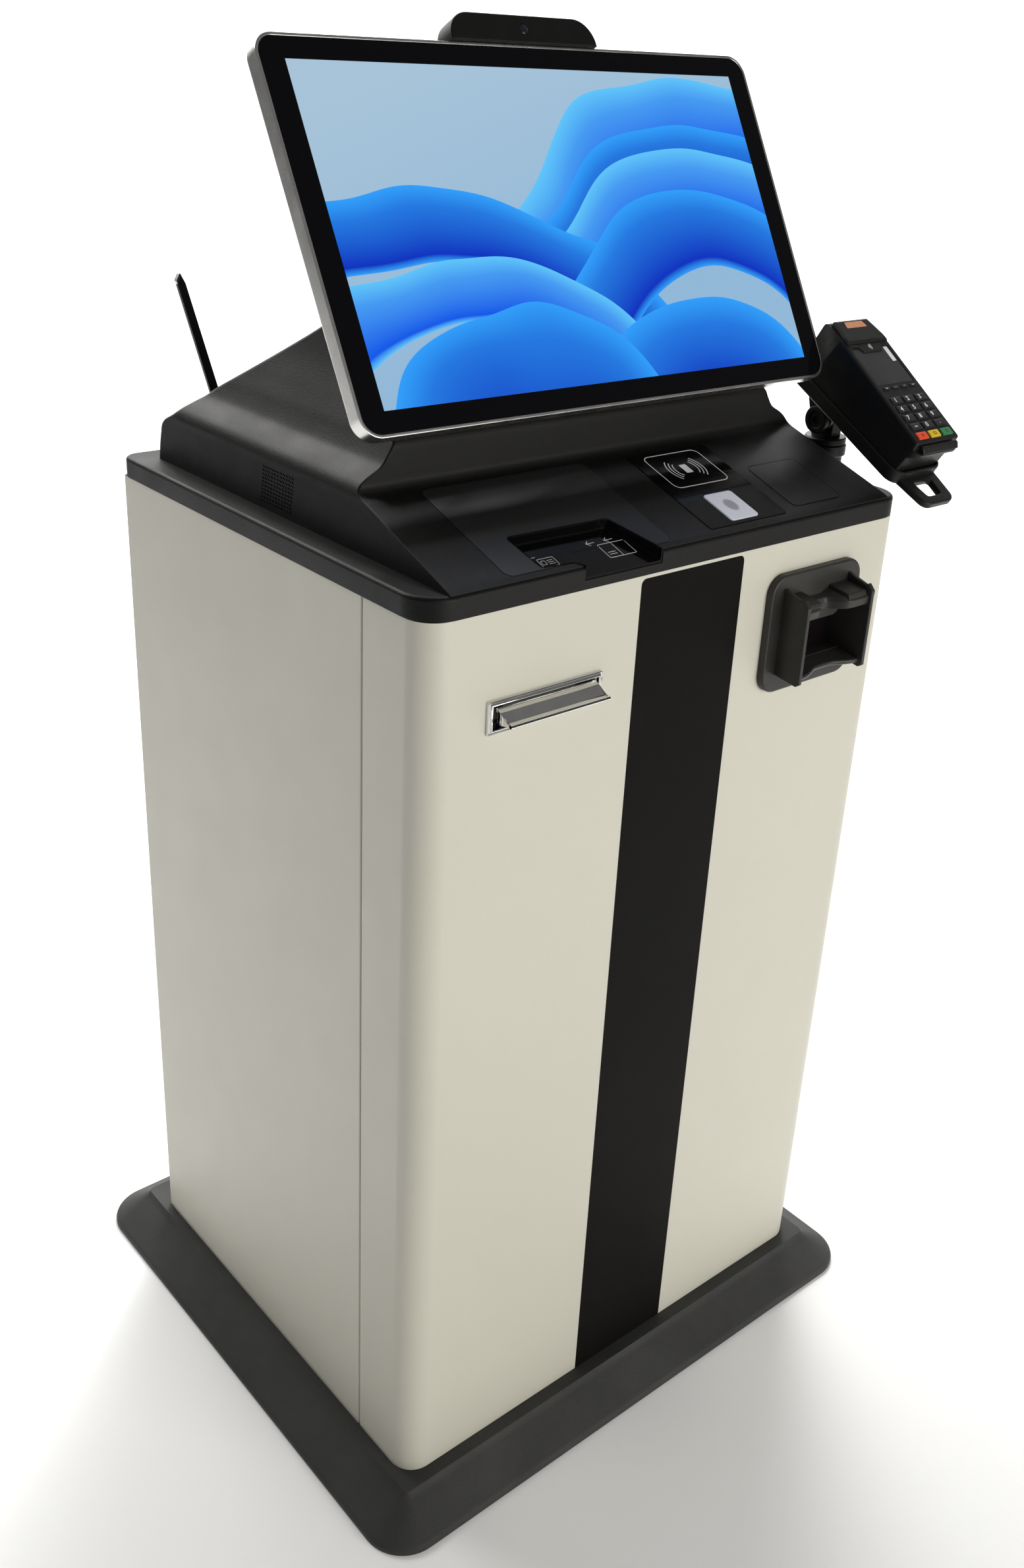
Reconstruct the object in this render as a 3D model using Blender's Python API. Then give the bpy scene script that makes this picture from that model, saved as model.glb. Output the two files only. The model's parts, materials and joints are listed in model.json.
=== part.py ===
"""A self-service kiosk: a floor cabinet with a sloped console, a tilting touch monitor, a document tray,
readers, a slot with a flap and a payment terminal on a pole. Metres, +Z up, the front faces -Y.
The origin is on the floor under the middle of the cabinet."""

import math

import bmesh
import bpy
from mathutils import Matrix, Vector

GAP = 0.0003
ARC_STEPS = 6

# Cabinet
BODY_WIDTH = 0.620
BODY_DEPTH = 0.526
BODY_TOP = 1.015
FRONT = -BODY_DEPTH / 2
REAR = BODY_DEPTH / 2
SIDE = BODY_WIDTH / 2
SHEET = 0.002
FRONT_SHEET = 0.0025
FRONT_CORNER = 0.028
REAR_CORNER = 0.005
SEAM_Y = FRONT + 0.088
SEAM_GAP = 0.0015
SIDE_LIP = SIDE - 0.024
STRIPE_WIDTH = 0.136
STRIPE_TOP = BODY_TOP - 0.0035
STRIPE_DEPTH = 0.001

# Plinth: its foot on the floor and the ridge round the cabinet
PLINTH_SIDE = SIDE + 0.056
PLINTH_FRONT = FRONT - 0.057
PLINTH_REAR = REAR + 0.081
PLINTH_EDGE = 0.009
PLINTH_TOP = 0.041
PLINTH_CORNER = 0.048
PLINTH_WALL = 0.003
RIDGE_SIDE = SIDE + 0.010
RIDGE_FRONT = FRONT - 0.0145
RIDGE_REAR = REAR + 0.0385

# Frame inside the cabinet
FRAME_SIDE = SIDE - 0.010
FRAME_FRONT = FRONT + 0.014
FRAME_REAR = REAR - 0.038
POST = 0.028
LOWER_SHELF = 0.300
SHELF_SHEET = 0.003

# Deck and hood
FLANGE_OVERHANG = 0.0015
FLANGE_TOP = BODY_TOP + 0.021
FLANGE_EDGE = 0.003
DECK_SLOPE = math.radians(18.5)
DECK_FRONT_Z = BODY_TOP + 0.0225
DECK_REACH = 0.143
HOOD_WALL = 0.004
HOOD_TOP = BODY_TOP + 0.207
HOOD_SIDE = SIDE - 0.025
HOOD_REAR = REAR - 0.026
PANEL_DEPTH = 0.001
TRAY_DEPTH = 0.010
TRAY_BASE = 0.002
TRAY_WALL = 0.0018

# Monitor, in a frame with X to the right, Y up the glass and Z out of the glass
MONITOR_TILT = math.radians(29.2)
MONITOR_WIDTH = 0.587
MONITOR_HEIGHT = 0.345
MONITOR_DEPTH = 0.018
MONITOR_CORNER = 0.020
RIM = 0.003
GLASS_THICKNESS = 0.004
TILT_AXIS = Vector((0, FRONT + 0.238, HOOD_TOP + 0.030))
TILT_PIN_RADIUS = 0.005
GLASS_UP = 0.012
GLASS_OUT = 0.058
CAMERA_SIDE = 0.0875
CAMERA_HEIGHT = 0.0265
LENS_RADIUS = 0.0049

# Antenna
ANTENNA_FOOT = Vector((0.088 - HOOD_SIDE, HOOD_REAR, BODY_TOP + 0.045))
ANTENNA_LEAN = math.radians(16.6)

# Payment terminal, in a frame with X to the right, Y up its face and Z out of its face
POLE_RADIUS = 0.021
POLE_WALL = 0.002
POLE_AXIS = Vector((SIDE + POLE_RADIUS + 0.007, FRONT + 0.135, 0))
POLE_BOTTOM = BODY_TOP - 0.225
POLE_TOP = BODY_TOP + 0.043
CLAMP_HEIGHT = 0.022
KNUCKLE_Z = BODY_TOP + 0.070
KNUCKLE_PIN_RADIUS = 0.004
KNOB_RADIUS = 0.015
KNOB_RECESS = 0.009
TERMINAL_TILT = math.radians(36.5)
TERMINAL_WIDTH = 0.072
KEYS_UP = -0.0749
FACE_OUT = 0.0932
KEY_PITCH_X = 0.0204
KEY_PITCH_Y = 0.01185
KEY_WIDTH = KEY_PITCH_X - 0.0032
KEY_HEIGHT = KEY_PITCH_Y - 0.00265
KEY_LOW = -0.003
KEY_TOP = 0.0013
KEY_WELL = -0.0045
CRADLE_TILT = math.radians(7.3)
CRADLE_DEPTH = 0.016
CRADLE_FLOOR = -0.012

# Fittings on the front
SLOT_CENTRE = Vector((0.1332 - SIDE, 0, BODY_TOP - 0.097))
SLOT_WIDTH = 0.132
SLOT_HEIGHT = 0.032
SLOT_FRAME_X = 0.0075
SLOT_FRAME_Z = 0.0055
BEZEL_CENTRE = Vector((SIDE - 0.135, 0, BODY_TOP - 0.095))
BEZEL_WIDTH = 0.136
BEZEL_HEIGHT = 0.125
BEZEL_DEPTH = 0.008
SHROUD_WIDTH = 0.103
SHROUD_HEIGHT = 0.092
SHROUD_DEPTH = 0.041
CHEEK = 0.004

# Rear door
DOOR_LEFT = 0.026 - SIDE
DOOR_RIGHT = SIDE - 0.027
DOOR_BOTTOM = 0.048
DOOR_TOP = BODY_TOP - 0.007
DOOR_DEPTH = 0.017
HINGE_AXIS = Vector((SIDE - 0.025, REAR + 0.007, 0))
HINGE_HEIGHTS = (0.150, BODY_TOP - 0.165)
KNUCKLE_LENGTH = 0.030
LUG_LENGTH = 0.015
KNUCKLE_RADIUS = 0.006
HINGE_ROD_RADIUS = 0.003
HINGE_LEAF = 0.0025
LOUVRE_HEIGHTS = (DOOR_BOTTOM + 0.152, DOOR_TOP - 0.128)
LOUVRE_REACH = 0.090
LOCK_X = DOOR_LEFT + 0.022
LOCK_Z = 0.560
LOCK_RADIUS = 0.010

# Inside the cabinet
PRINTER_SHELF = SLOT_CENTRE.z - 0.073
PRINTER_SHELF_RIGHT = SLOT_CENTRE.x + 0.1268
PRINTER_HALF = 0.048
PAPER_HALF = 0.040
ROLL_RADIUS = 0.038
ROLL_AXIS = Vector((SLOT_CENTRE.x, FRONT + 0.203, SLOT_CENTRE.z - 0.023))
INLET = Vector((SIDE, 0.150, 0.120))

DECK = Matrix.Translation((0, FRONT, DECK_FRONT_Z)) @ Matrix.Rotation(DECK_SLOPE, 4, "X")

for old in list(bpy.data.objects):
    bpy.data.objects.remove(old)
PARTS = bpy.data.collections.new("self_service_kiosk")
CUTTERS = bpy.data.collections.new("cutters")
bpy.context.scene.collection.children.link(PARTS)
bpy.context.scene.collection.children.link(CUTTERS)


def material(name, colour, roughness, metallic=0.0):
    made = bpy.data.materials.new(name)
    made.use_nodes = True
    shader = made.node_tree.nodes["Principled BSDF"]
    shader.inputs["Base Color"].default_value = (*colour, 1)
    shader.inputs["Roughness"].default_value = roughness
    shader.inputs["Metallic"].default_value = metallic
    return made


WHITE = material("body_paint", (0.56, 0.54, 0.48), 0.45)
STRIPE_BLACK = material("stripe_black", (0.022, 0.021, 0.019), 0.4)
PLINTH_GREY = material("plinth_grey", (0.040, 0.040, 0.038), 0.7)
DECK_BLACK = material("deck_black", (0.020, 0.019, 0.018), 0.55)
INLAY_GREY = material("inlay_grey", (0.035, 0.035, 0.035), 0.35)
GLOSS_BLACK = material("gloss_black", (0.006, 0.006, 0.006), 0.12)
PLATEN_WHITE = material("platen_white", (0.75, 0.77, 0.82), 0.3)
CHROME = material("chrome", (0.75, 0.74, 0.72), 0.08, 1.0)
BEZEL_GREY = material("bezel_grey", (0.060, 0.058, 0.052), 0.5)
ALUMINIUM = material("aluminium", (0.62, 0.61, 0.58), 0.3, 1.0)
GLASS = material("touch_glass", (0.010, 0.010, 0.011), 0.06)
STEEL = material("steel", (0.45, 0.45, 0.45), 0.35, 1.0)
TERMINAL_BLACK = material("terminal_black", (0.020, 0.020, 0.021), 0.45)
KEY_BLACK = material("key_black", (0.030, 0.030, 0.032), 0.4)
KEY_RED = material("key_red", (0.85, 0.08, 0.03), 0.4)
KEY_YELLOW = material("key_yellow", (0.80, 0.60, 0.02), 0.4)
KEY_GREEN = material("key_green", (0.04, 0.28, 0.09), 0.4)
PAPER = material("paper", (0.80, 0.79, 0.76), 0.8)
DEVICE_GREY = material("device_grey", (0.12, 0.12, 0.12), 0.5)


def new_object(name, mesh, mat, matrix=None, parent=None):
    obj = bpy.data.objects.new(name, mesh)
    mesh.materials.clear()
    if mat is None:
        CUTTERS.objects.link(obj)
        obj.hide_render = True
        obj.display_type = "WIRE"
    else:
        PARTS.objects.link(obj)
        mesh.materials.append(mat)
    if parent is not None:
        obj.parent = parent
    obj.matrix_basis = matrix if matrix is not None else Matrix()
    return obj


def datum(name, matrix):
    """An empty that its children are placed from, on the axis that they turn about."""
    empty = bpy.data.objects.new(name, None)
    PARTS.objects.link(empty)
    empty.matrix_basis = matrix
    return empty


def block(name, low, high, mat, matrix=None, parent=None, origin=(0, 0, 0)):
    """A box between two opposite corners. Its origin may be moved onto an axis."""
    low, high, origin = Vector(low), Vector(high), Vector(origin)
    bm = bmesh.new()
    bmesh.ops.create_cube(bm, size=1)
    bmesh.ops.scale(bm, vec=high - low, verts=bm.verts)
    bmesh.ops.translate(bm, vec=(low + high) / 2 - origin, verts=bm.verts)
    mesh = bpy.data.meshes.new(name)
    bm.to_mesh(mesh)
    bm.free()
    matrix = (matrix if matrix is not None else Matrix()) @ Matrix.Translation(origin)
    return new_object(name, mesh, mat, matrix, parent)


def rod(name, start, end, radius, mat, sides=24, matrix=None, parent=None):
    """A round bar between two points."""
    start, end = Vector(start), Vector(end)
    bm = bmesh.new()
    bmesh.ops.create_cone(
        bm,
        cap_ends=True,
        segments=sides,
        radius1=radius,
        radius2=radius,
        depth=(end - start).length,
    )
    turn = (end - start).to_track_quat("Z", "Y").to_matrix().to_4x4()
    mesh = bpy.data.meshes.new(name)
    bm.to_mesh(mesh)
    bm.free()
    mesh.shade_smooth()
    mesh.set_sharp_from_angle(angle=math.radians(40))
    local = Matrix.Translation((start + end) / 2) @ turn
    return new_object(name, mesh, mat, (matrix if matrix is not None else Matrix()) @ local, parent)


def rounded(corners, steps=ARC_STEPS):
    """A closed outline through (x, y, radius) corners, each with its arc."""
    outline = []
    for index, (x, y, radius) in enumerate(corners):
        here = Vector((x, y))
        back = (Vector(corners[index - 1][:2]) - here).normalized()
        ahead = (Vector(corners[(index + 1) % len(corners)][:2]) - here).normalized()
        if radius <= 0:
            outline.append(here)
            continue
        half = math.acos(max(-1, min(1, back.dot(ahead)))) / 2
        reach = radius / math.tan(half)
        centre = here + (back + ahead).normalized() * radius / math.sin(half)
        start = here + back * reach - centre
        end = here + ahead * reach - centre
        sweep = math.pi - 2 * half
        turn = 1 if start.x * end.y - start.y * end.x > 0 else -1
        for step in range(steps + 1):
            angle = turn * sweep * step / steps
            outline.append(centre + Matrix.Rotation(angle, 2) @ start)
    return outline


def rectangle(left, right, bottom, top, radius):
    """The outline of a rectangle with one radius, or one for each corner from the lower left round."""
    radii = radius if isinstance(radius, tuple) else (radius,) * 4
    places = ((left, bottom), (right, bottom), (right, top), (left, top))
    return rounded([(x, y, r) for (x, y), r in zip(places, radii)])


def face_outward(bm):
    if bm.calc_volume(signed=True) < 0:
        bmesh.ops.reverse_faces(bm, faces=bm.faces)


def plate(name, outline, low, high, mat, matrix=None, parent=None):
    """A flat outline in X and Y, extruded from low to high along Z."""
    curve = bpy.data.curves.new(name, "CURVE")
    curve.dimensions = "2D"
    curve.fill_mode = "BOTH"
    curve.extrude = (high - low) / 2
    spline = curve.splines.new("POLY")
    spline.points.add(len(outline) - 1)
    for place, point in zip(spline.points, outline):
        place.co = (point[0], point[1], 0, 1)
    spline.use_cyclic_u = True
    guide = bpy.data.objects.new(name + "_outline", curve)
    CUTTERS.objects.link(guide)
    graph = bpy.context.evaluated_depsgraph_get()
    mesh = bpy.data.meshes.new_from_object(guide.evaluated_get(graph))
    bpy.data.objects.remove(guide)
    bm = bmesh.new()
    bm.from_mesh(mesh)
    bmesh.ops.remove_doubles(bm, verts=bm.verts, dist=1e-6)
    bmesh.ops.translate(bm, vec=(0, 0, (low + high) / 2), verts=bm.verts)
    face_outward(bm)
    bm.to_mesh(mesh)
    bm.free()
    mesh.name = name
    return new_object(name, mesh, mat, matrix, parent)


def side_plate(name, outline, left, right, mat, matrix=None, parent=None):
    """An outline in Y and Z, extruded from left to right along X."""
    stand = Matrix(((0, 0, 1, 0), (1, 0, 0, 0), (0, 1, 0, 0), (0, 0, 0, 1)))
    place = (matrix if matrix is not None else Matrix()) @ stand
    return plate(name, outline, left, right, mat, place, parent)


def front_plate(name, outline, front, back, mat, matrix=None, parent=None):
    """An outline in X and Z, extruded from front to back along Y."""
    stand = Matrix(((1, 0, 0, 0), (0, 0, -1, 0), (0, 1, 0, 0), (0, 0, 0, 1)))
    place = (matrix if matrix is not None else Matrix()) @ stand
    return plate(name, outline, -back, -front, mat, place, parent)


def loft(name, rings, mat):
    """A solid through rings that have the same number of points, closed by its first and last ring."""
    bm = bmesh.new()
    loops = [[bm.verts.new(point) for point in ring] for ring in rings]
    for lower, upper in zip(loops[:-1], loops[1:]):
        for index in range(len(lower)):
            following = (index + 1) % len(lower)
            bm.faces.new((lower[index], lower[following], upper[following], upper[index]))
    bm.faces.new(list(reversed(loops[0])))
    bm.faces.new(loops[-1])
    face_outward(bm)
    mesh = bpy.data.meshes.new(name)
    bm.to_mesh(mesh)
    bm.free()
    return new_object(name, mesh, mat)


def combine(obj, other, operation):
    modifier = obj.modifiers.new(other.name, "BOOLEAN")
    modifier.object = other
    modifier.operation = operation
    modifier.solver = "EXACT"


def cut(obj, *cutters):
    for cutter in cutters:
        combine(obj, cutter, "DIFFERENCE")


def join(obj, *others):
    for other in others:
        combine(obj, other, "UNION")


def at_height(outline, z):
    return [(x, y, z) for x, y in outline]


def plinth_ring(inset, z):
    """The plinth's round outline below its ridge."""
    half, front, rear = PLINTH_SIDE - inset, PLINTH_FRONT + inset, PLINTH_REAR - inset
    return at_height(rectangle(-half, half, front, rear, PLINTH_CORNER - inset), z)


def ridge_ring(inset, z):
    """The plinth's square outline at its ridge."""
    half, front, rear = RIDGE_SIDE - inset, RIDGE_FRONT + inset, RIDGE_REAR - inset
    return at_height(rectangle(-half, half, front, rear, 0.002), z)


def base_plinth():
    """A wide foot with a low upright edge and a slope up to the cabinet, hollow from above."""
    wall = PLINTH_WALL
    rings = [plinth_ring(0, 0), plinth_ring(0, PLINTH_EDGE), ridge_ring(0, PLINTH_TOP)]
    body = loft("base_plinth", rings, PLINTH_GREY)
    floor, shoulder = plinth_ring(wall, wall + 0.001), plinth_ring(wall, PLINTH_EDGE - wall / 2)
    hollow = loft("plinth_hollow", [floor, shoulder, ridge_ring(wall, PLINTH_TOP - wall)], None)
    reach = SIDE - 0.040
    low, high = (-reach, FRONT + 0.043, PLINTH_TOP - 0.011), (reach, REAR - 0.038, PLINTH_TOP + 0.009)
    cut(body, hollow, block("plinth_opening", low, high, None))


def cabinet_frame():
    """A welded frame: a floor plate, four posts, a top ring, two shelves and the catch for the door's lock."""
    low = PLINTH_TOP + GAP
    reach, front, rear = FRAME_SIDE, FRAME_FRONT, FRAME_REAR
    frame = block("cabinet_frame", (-reach, front, low), (reach, rear, low + SHELF_SHEET), STEEL)
    step = 0.0005
    pieces = []
    for x in (-reach + step, reach - POST - step):
        for y in (front + step, rear - POST - step):
            pieces.append(block("post", (x, y, low + 0.001), (x + POST, y + POST, BODY_TOP - 0.001), None))
    rail_low, rail_high = BODY_TOP - 0.023, BODY_TOP - 0.002
    for y in (front + 2 * step, rear - POST - 2 * step):
        corner, opposite = (-reach + 0.002, y, rail_low), (reach - 0.002, y + POST, rail_high)
        pieces.append(block("cross_rail", corner, opposite, None))
    for x in (-reach + 3 * step, reach - POST - 3 * step):
        corner, opposite = (x, front + 0.003, rail_low + 0.001), (x + POST, rear - 0.003, rail_high - 0.001)
        pieces.append(block("side_rail", corner, opposite, None))
    corner = (-reach + 0.004, front + 0.01, LOWER_SHELF)
    opposite = (reach - 0.004, rear - 0.005, LOWER_SHELF + SHELF_SHEET)
    pieces.append(block("lower_shelf", corner, opposite, None))
    right = PRINTER_SHELF_RIGHT
    corner = (-reach + 0.005, front + 0.005, PRINTER_SHELF)
    opposite = (right, FRONT + 0.243, PRINTER_SHELF + SHELF_SHEET)
    pieces.append(block("printer_shelf", corner, opposite, None))
    corner = (right - 0.030, front + 0.012, LOWER_SHELF + 0.001)
    opposite = (right - 0.005, front + 0.034, PRINTER_SHELF + 0.001)
    pieces.append(block("printer_shelf_leg", corner, opposite, None))
    corner = (-reach + 0.001, rear - 0.01, LOCK_Z - 0.02)
    opposite = (-reach + 0.005, REAR - 0.0155, LOCK_Z + 0.02)
    pieces.append(block("catch_arm", corner, opposite, None))
    corner = (-reach, REAR - 0.0185, LOCK_Z - 0.019)
    opposite = (DOOR_LEFT - 0.002, REAR - 0.015, LOCK_Z + 0.019)
    pieces.append(block("catch_lip", corner, opposite, None))
    join(frame, *pieces)


def open_sheet(points, thickness, inward):
    """The closed outline of a sheet bent along (x, y, radius) points. Its ends are square."""
    inner = []
    for (x, y, radius), (across, along) in zip(points, inward):
        inner.append((x + across * thickness, y + along * thickness, max(radius - thickness, 0)))
    return rounded(list(points) + list(reversed(inner)))


def front_hole(name, centre, half_width, half_height):
    low = (centre.x - half_width, FRONT - 0.01, centre.z - half_height)
    high = (centre.x + half_width, FRONT + 0.01, centre.z + half_height)
    return block(name, low, high, None)


def front_shell():
    """The bent front sheet with holes for the slot and the reader, and the stripe let into it."""
    points = ((-SIDE, SEAM_Y, 0), (-SIDE, FRONT, FRONT_CORNER), (SIDE, FRONT, FRONT_CORNER), (SIDE, SEAM_Y, 0))
    outline = open_sheet(points, FRONT_SHEET, ((1, 0), (1, 1), (-1, 1), (-1, 0)))
    shell = plate("front_shell", outline, PLINTH_TOP + GAP, BODY_TOP - GAP, WHITE)
    half, radii = STRIPE_WIDTH / 2, (0, 0, 0.006, 0.006)
    area = rectangle(-half - GAP, half + GAP, PLINTH_TOP - 0.011, STRIPE_TOP + GAP, radii)
    recess = front_plate("stripe_recess", area, FRONT - 0.01, FRONT + STRIPE_DEPTH, None)
    slot = front_hole("slot_hole", SLOT_CENTRE, SLOT_WIDTH / 2 - 0.006, SLOT_HEIGHT / 2 - 0.004)
    reader = front_hole("reader_hole", BEZEL_CENTRE, SHROUD_WIDTH / 2 + 0.001, SHROUD_HEIGHT / 2 + 0.002)
    cut(shell, recess, slot, reader)
    area = rectangle(-half, half, PLINTH_TOP + GAP, STRIPE_TOP, radii)
    front_plate("front_stripe", area, FRONT - GAP, FRONT + STRIPE_DEPTH - GAP, STRIPE_BLACK)


def side_panels():
    """Bent side sheets. The right one carries the door's hinge lugs and the hole for the mains inlet."""
    for name, hand in (("side_panel_left", -1), ("side_panel_right", 1)):
        edge, lip = (hand * SIDE, SEAM_Y + SEAM_GAP, 0), (hand * SIDE_LIP, REAR, 0)
        points = (edge, (hand * SIDE, REAR, REAR_CORNER), lip)
        outline = open_sheet(points, SHEET, ((-hand, 0), (-hand, -1), (0, -1)))
        panel = plate(name, outline, PLINTH_TOP + GAP, BODY_TOP - GAP, WHITE)
        if hand > 0:
            join(panel, *hinge_lugs())
            cut(panel, hinge_bore("lug_bore"))
            reach = Vector((0.01, 0.0135, 0.0235))
            cut(panel, block("inlet_hole", INLET - reach, INLET + reach, None))


def on_hinge(z):
    """The point of the door's hinge axis at a height."""
    return HINGE_AXIS + Vector((0, 0, z))


def hinge_lugs():
    """The leaves and knuckles of the two hinges that stay with the cabinet."""
    pieces = []
    for height in HINGE_HEIGHTS:
        for low in (height, height + LUG_LENGTH + KNUCKLE_LENGTH + 2 * GAP):
            high = low + LUG_LENGTH
            leaf_low = (HINGE_AXIS.x + 0.002, REAR - 0.001, low + 0.0004)
            leaf_high = (SIDE - 0.006, REAR + HINGE_LEAF, high - 0.0004)
            neck_low = (HINGE_AXIS.x + 0.0015, REAR - 0.0005, low + 0.0002)
            neck_high = (HINGE_AXIS.x + 0.0052, HINGE_AXIS.y - 0.0007, high - 0.0002)
            pieces.append(block("lug_leaf", leaf_low, leaf_high, None))
            pieces.append(block("lug_neck", neck_low, neck_high, None))
            pieces.append(rod("lug_knuckle", on_hinge(low), on_hinge(high), KNUCKLE_RADIUS, None, 16))
    return pieces


def hinge_bore(name):
    low, high = on_hinge(HINGE_HEIGHTS[0] - 0.05), on_hinge(HINGE_HEIGHTS[1] + 0.1)
    return rod(name, low, high, HINGE_ROD_RADIUS + GAP, None, 16)


def rear_door():
    """A pan of sheet with folded edges, louvres, two hinge knuckles and a hole for the lock."""
    low, high = (DOOR_LEFT, REAR - DOOR_DEPTH, DOOR_BOTTOM), (DOOR_RIGHT, REAR, DOOR_TOP)
    door = block("rear_door", low, high, WHITE, origin=HINGE_AXIS)
    inside_low = (DOOR_LEFT + SHEET, REAR - DOOR_DEPTH - 0.01, DOOR_BOTTOM + SHEET)
    inside_high = (DOOR_RIGHT - SHEET, REAR - SHEET, DOOR_TOP - SHEET)
    cut(door, block("door_inside", inside_low, inside_high, None))
    for height in HINGE_HEIGHTS:
        bottom = height + LUG_LENGTH + GAP
        top = bottom + KNUCKLE_LENGTH
        leaf_low = (HINGE_AXIS.x - 0.025, REAR - 0.001, bottom)
        leaf_high = (HINGE_AXIS.x - 0.003, REAR + HINGE_LEAF, top)
        neck_low = (HINGE_AXIS.x - 0.005, REAR - 0.001, bottom)
        neck_high = (HINGE_AXIS.x - 0.0022, HINGE_AXIS.y, top)
        leaf = block("door_leaf", leaf_low, leaf_high, None)
        neck = block("door_neck", neck_low, neck_high, None)
        join(door, leaf, neck, rod("door_knuckle", on_hinge(bottom), on_hinge(top), KNUCKLE_RADIUS, None, 16))
    cut(door, hinge_bore("door_bore"))
    for centre_z in LOUVRE_HEIGHTS:
        for row in range(5):
            z = centre_z + (row - 2) * 0.012
            low, high = (-LOUVRE_REACH, REAR - 0.01, z), (LOUVRE_REACH, REAR + 0.01, z + 0.004)
            cut(door, block("louvre", low, high, None))
    low, high = (LOCK_X, REAR - 0.01, LOCK_Z), (LOCK_X, REAR + 0.01, LOCK_Z)
    cut(door, rod("lock_hole", low, high, LOCK_RADIUS + GAP, None))
    low, high = on_hinge(HINGE_HEIGHTS[0] - 0.005), on_hinge(HINGE_HEIGHTS[1] + 0.065)
    rod("hinge_rod", low, high, HINGE_ROD_RADIUS, STEEL, 16)


def door_lock():
    """A cylinder lock with a key slot. Its cam stands up, unlocked, and turns to the left behind the catch."""
    inner, face = (LOCK_X, REAR - 0.024, LOCK_Z), (LOCK_X, REAR + 0.001, LOCK_Z)
    barrel = rod("door_lock", inner, face, LOCK_RADIUS, CHROME)
    head = rod("lock_head", (LOCK_X, REAR + GAP, LOCK_Z), (LOCK_X, REAR + 0.004, LOCK_Z), 0.013, None)
    low = (LOCK_X - 0.007, REAR - 0.0235, LOCK_Z - 0.007)
    high = (LOCK_X + 0.007, REAR - 0.0205, LOCK_Z + 0.031)
    join(barrel, head, block("lock_cam", low, high, None))
    low = (LOCK_X - 0.0008, REAR + 0.001, LOCK_Z - 0.004)
    high = (LOCK_X + 0.0008, REAR + 0.01, LOCK_Z + 0.004)
    cut(barrel, block("key_slot", low, high, None))


def hood_sections():
    """(height, half width, front, rear) up the hood. The front follows the deck's slope, then a fillet into
    an upright face, then a lean equal to the monitor's. The sides draw in along a hollow curve."""
    slope = math.tan(DECK_SLOPE)
    crease_y, crease_z = FRONT + DECK_REACH, DECK_FRONT_Z + DECK_REACH * slope
    foot = BODY_TOP + 0.015
    sections = [(foot, HOOD_SIDE, FRONT + 0.001, HOOD_REAR)]
    for height in (DECK_FRONT_Z, BODY_TOP + 0.045, BODY_TOP + 0.057, crease_z - 0.006):
        side = HOOD_SIDE - 0.006 * (height - foot) / 0.055
        rear = HOOD_REAR - 0.012 * max(0, (height - BODY_TOP - 0.045) / 0.020) ** 2
        sections.append((height, side, FRONT + max(0, height - DECK_FRONT_Z) / slope, rear))
    radius = 0.010
    reach = radius * math.tan((math.pi / 2 - DECK_SLOPE) / 2)
    centre_y, centre_z = crease_y - radius, crease_z + reach + 0.0005
    for share, draw in ((0.35, 0.008), (0.65, 0.0105), (1.0, 0.017)):
        angle = DECK_SLOPE + (math.pi / 2 - DECK_SLOPE) * share
        height = centre_z - radius * math.cos(angle)
        front, rear = centre_y + radius * math.sin(angle), HOOD_REAR - 0.017 - 0.022 * share
        sections.append((height, HOOD_SIDE - draw, front, rear))
    lean, lean_from = math.tan(MONITOR_TILT), BODY_TOP + 0.107
    rise_and_draws = (
        (0.090, 0.0320, 0.042),
        (0.100, 0.0395, 0.055),
        (0.110, 0.0455, 0.071),
        (0.125, 0.0550, 0.095),
        (0.151, 0.0700, 0.137),
        (0.180, 0.0820, 0.185),
        (HOOD_TOP - BODY_TOP, 0.0890, 0.225),
    )
    for rise, side_draw, rear_draw in rise_and_draws:
        height = BODY_TOP + rise
        front = crease_y + max(0, height - lean_from) * lean
        sections.append((height, HOOD_SIDE - side_draw, front, HOOD_REAR - rear_draw))
    return sections


def hood_ring(section, inset, drop):
    height, side, front, rear = section
    radii = (0.0008, 0.0008, 0.008, 0.008)
    outline = rectangle(-side + inset, side - inset, front + inset, rear - inset, radii)
    return at_height(outline, height - drop)


def deck_hood():
    """The moulding that covers the cabinet: a flange, a sloped console and a hood up to the monitor."""
    half = SIDE + FLANGE_OVERHANG
    front, rear = FRONT - FLANGE_OVERHANG, REAR + FLANGE_OVERHANG
    radii = (FRONT_CORNER + 0.006, FRONT_CORNER + 0.006, 0.018, 0.018)
    rings = []
    for inset, height in (
        (0, BODY_TOP),
        (0, FLANGE_TOP - FLANGE_EDGE),
        (0.3 * FLANGE_EDGE, FLANGE_TOP - 0.3 * FLANGE_EDGE),
        (FLANGE_EDGE, FLANGE_TOP),
    ):
        outline = rectangle(-half + inset, half - inset, front + inset, rear - inset, radii)
        rings.append(at_height(outline, height))
    hood = loft("deck_hood", rings, DECK_BLACK)
    sections = hood_sections()
    join(hood, loft("hood_shape", [hood_ring(section, 0, 0) for section in sections], None))
    inner = [hood_ring(section, HOOD_WALL, HOOD_WALL) for section in sections]
    inner.insert(0, [(x, y, BODY_TOP - 0.01) for x, y, _ in inner[0]])
    cut(hood, loft("hood_hollow", inner, None))
    for left in (-HOOD_SIDE - 0.010, HOOD_SIDE - 0.015):
        for row in range(8):
            z = BODY_TOP + 0.0275 + row * 0.0042
            low, high = (left, FRONT + 0.239, z), (left + 0.025, FRONT + 0.295, z + 0.0018)
            cut(hood, block("vent", low, high, None))
    deck_fittings(hood)


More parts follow.
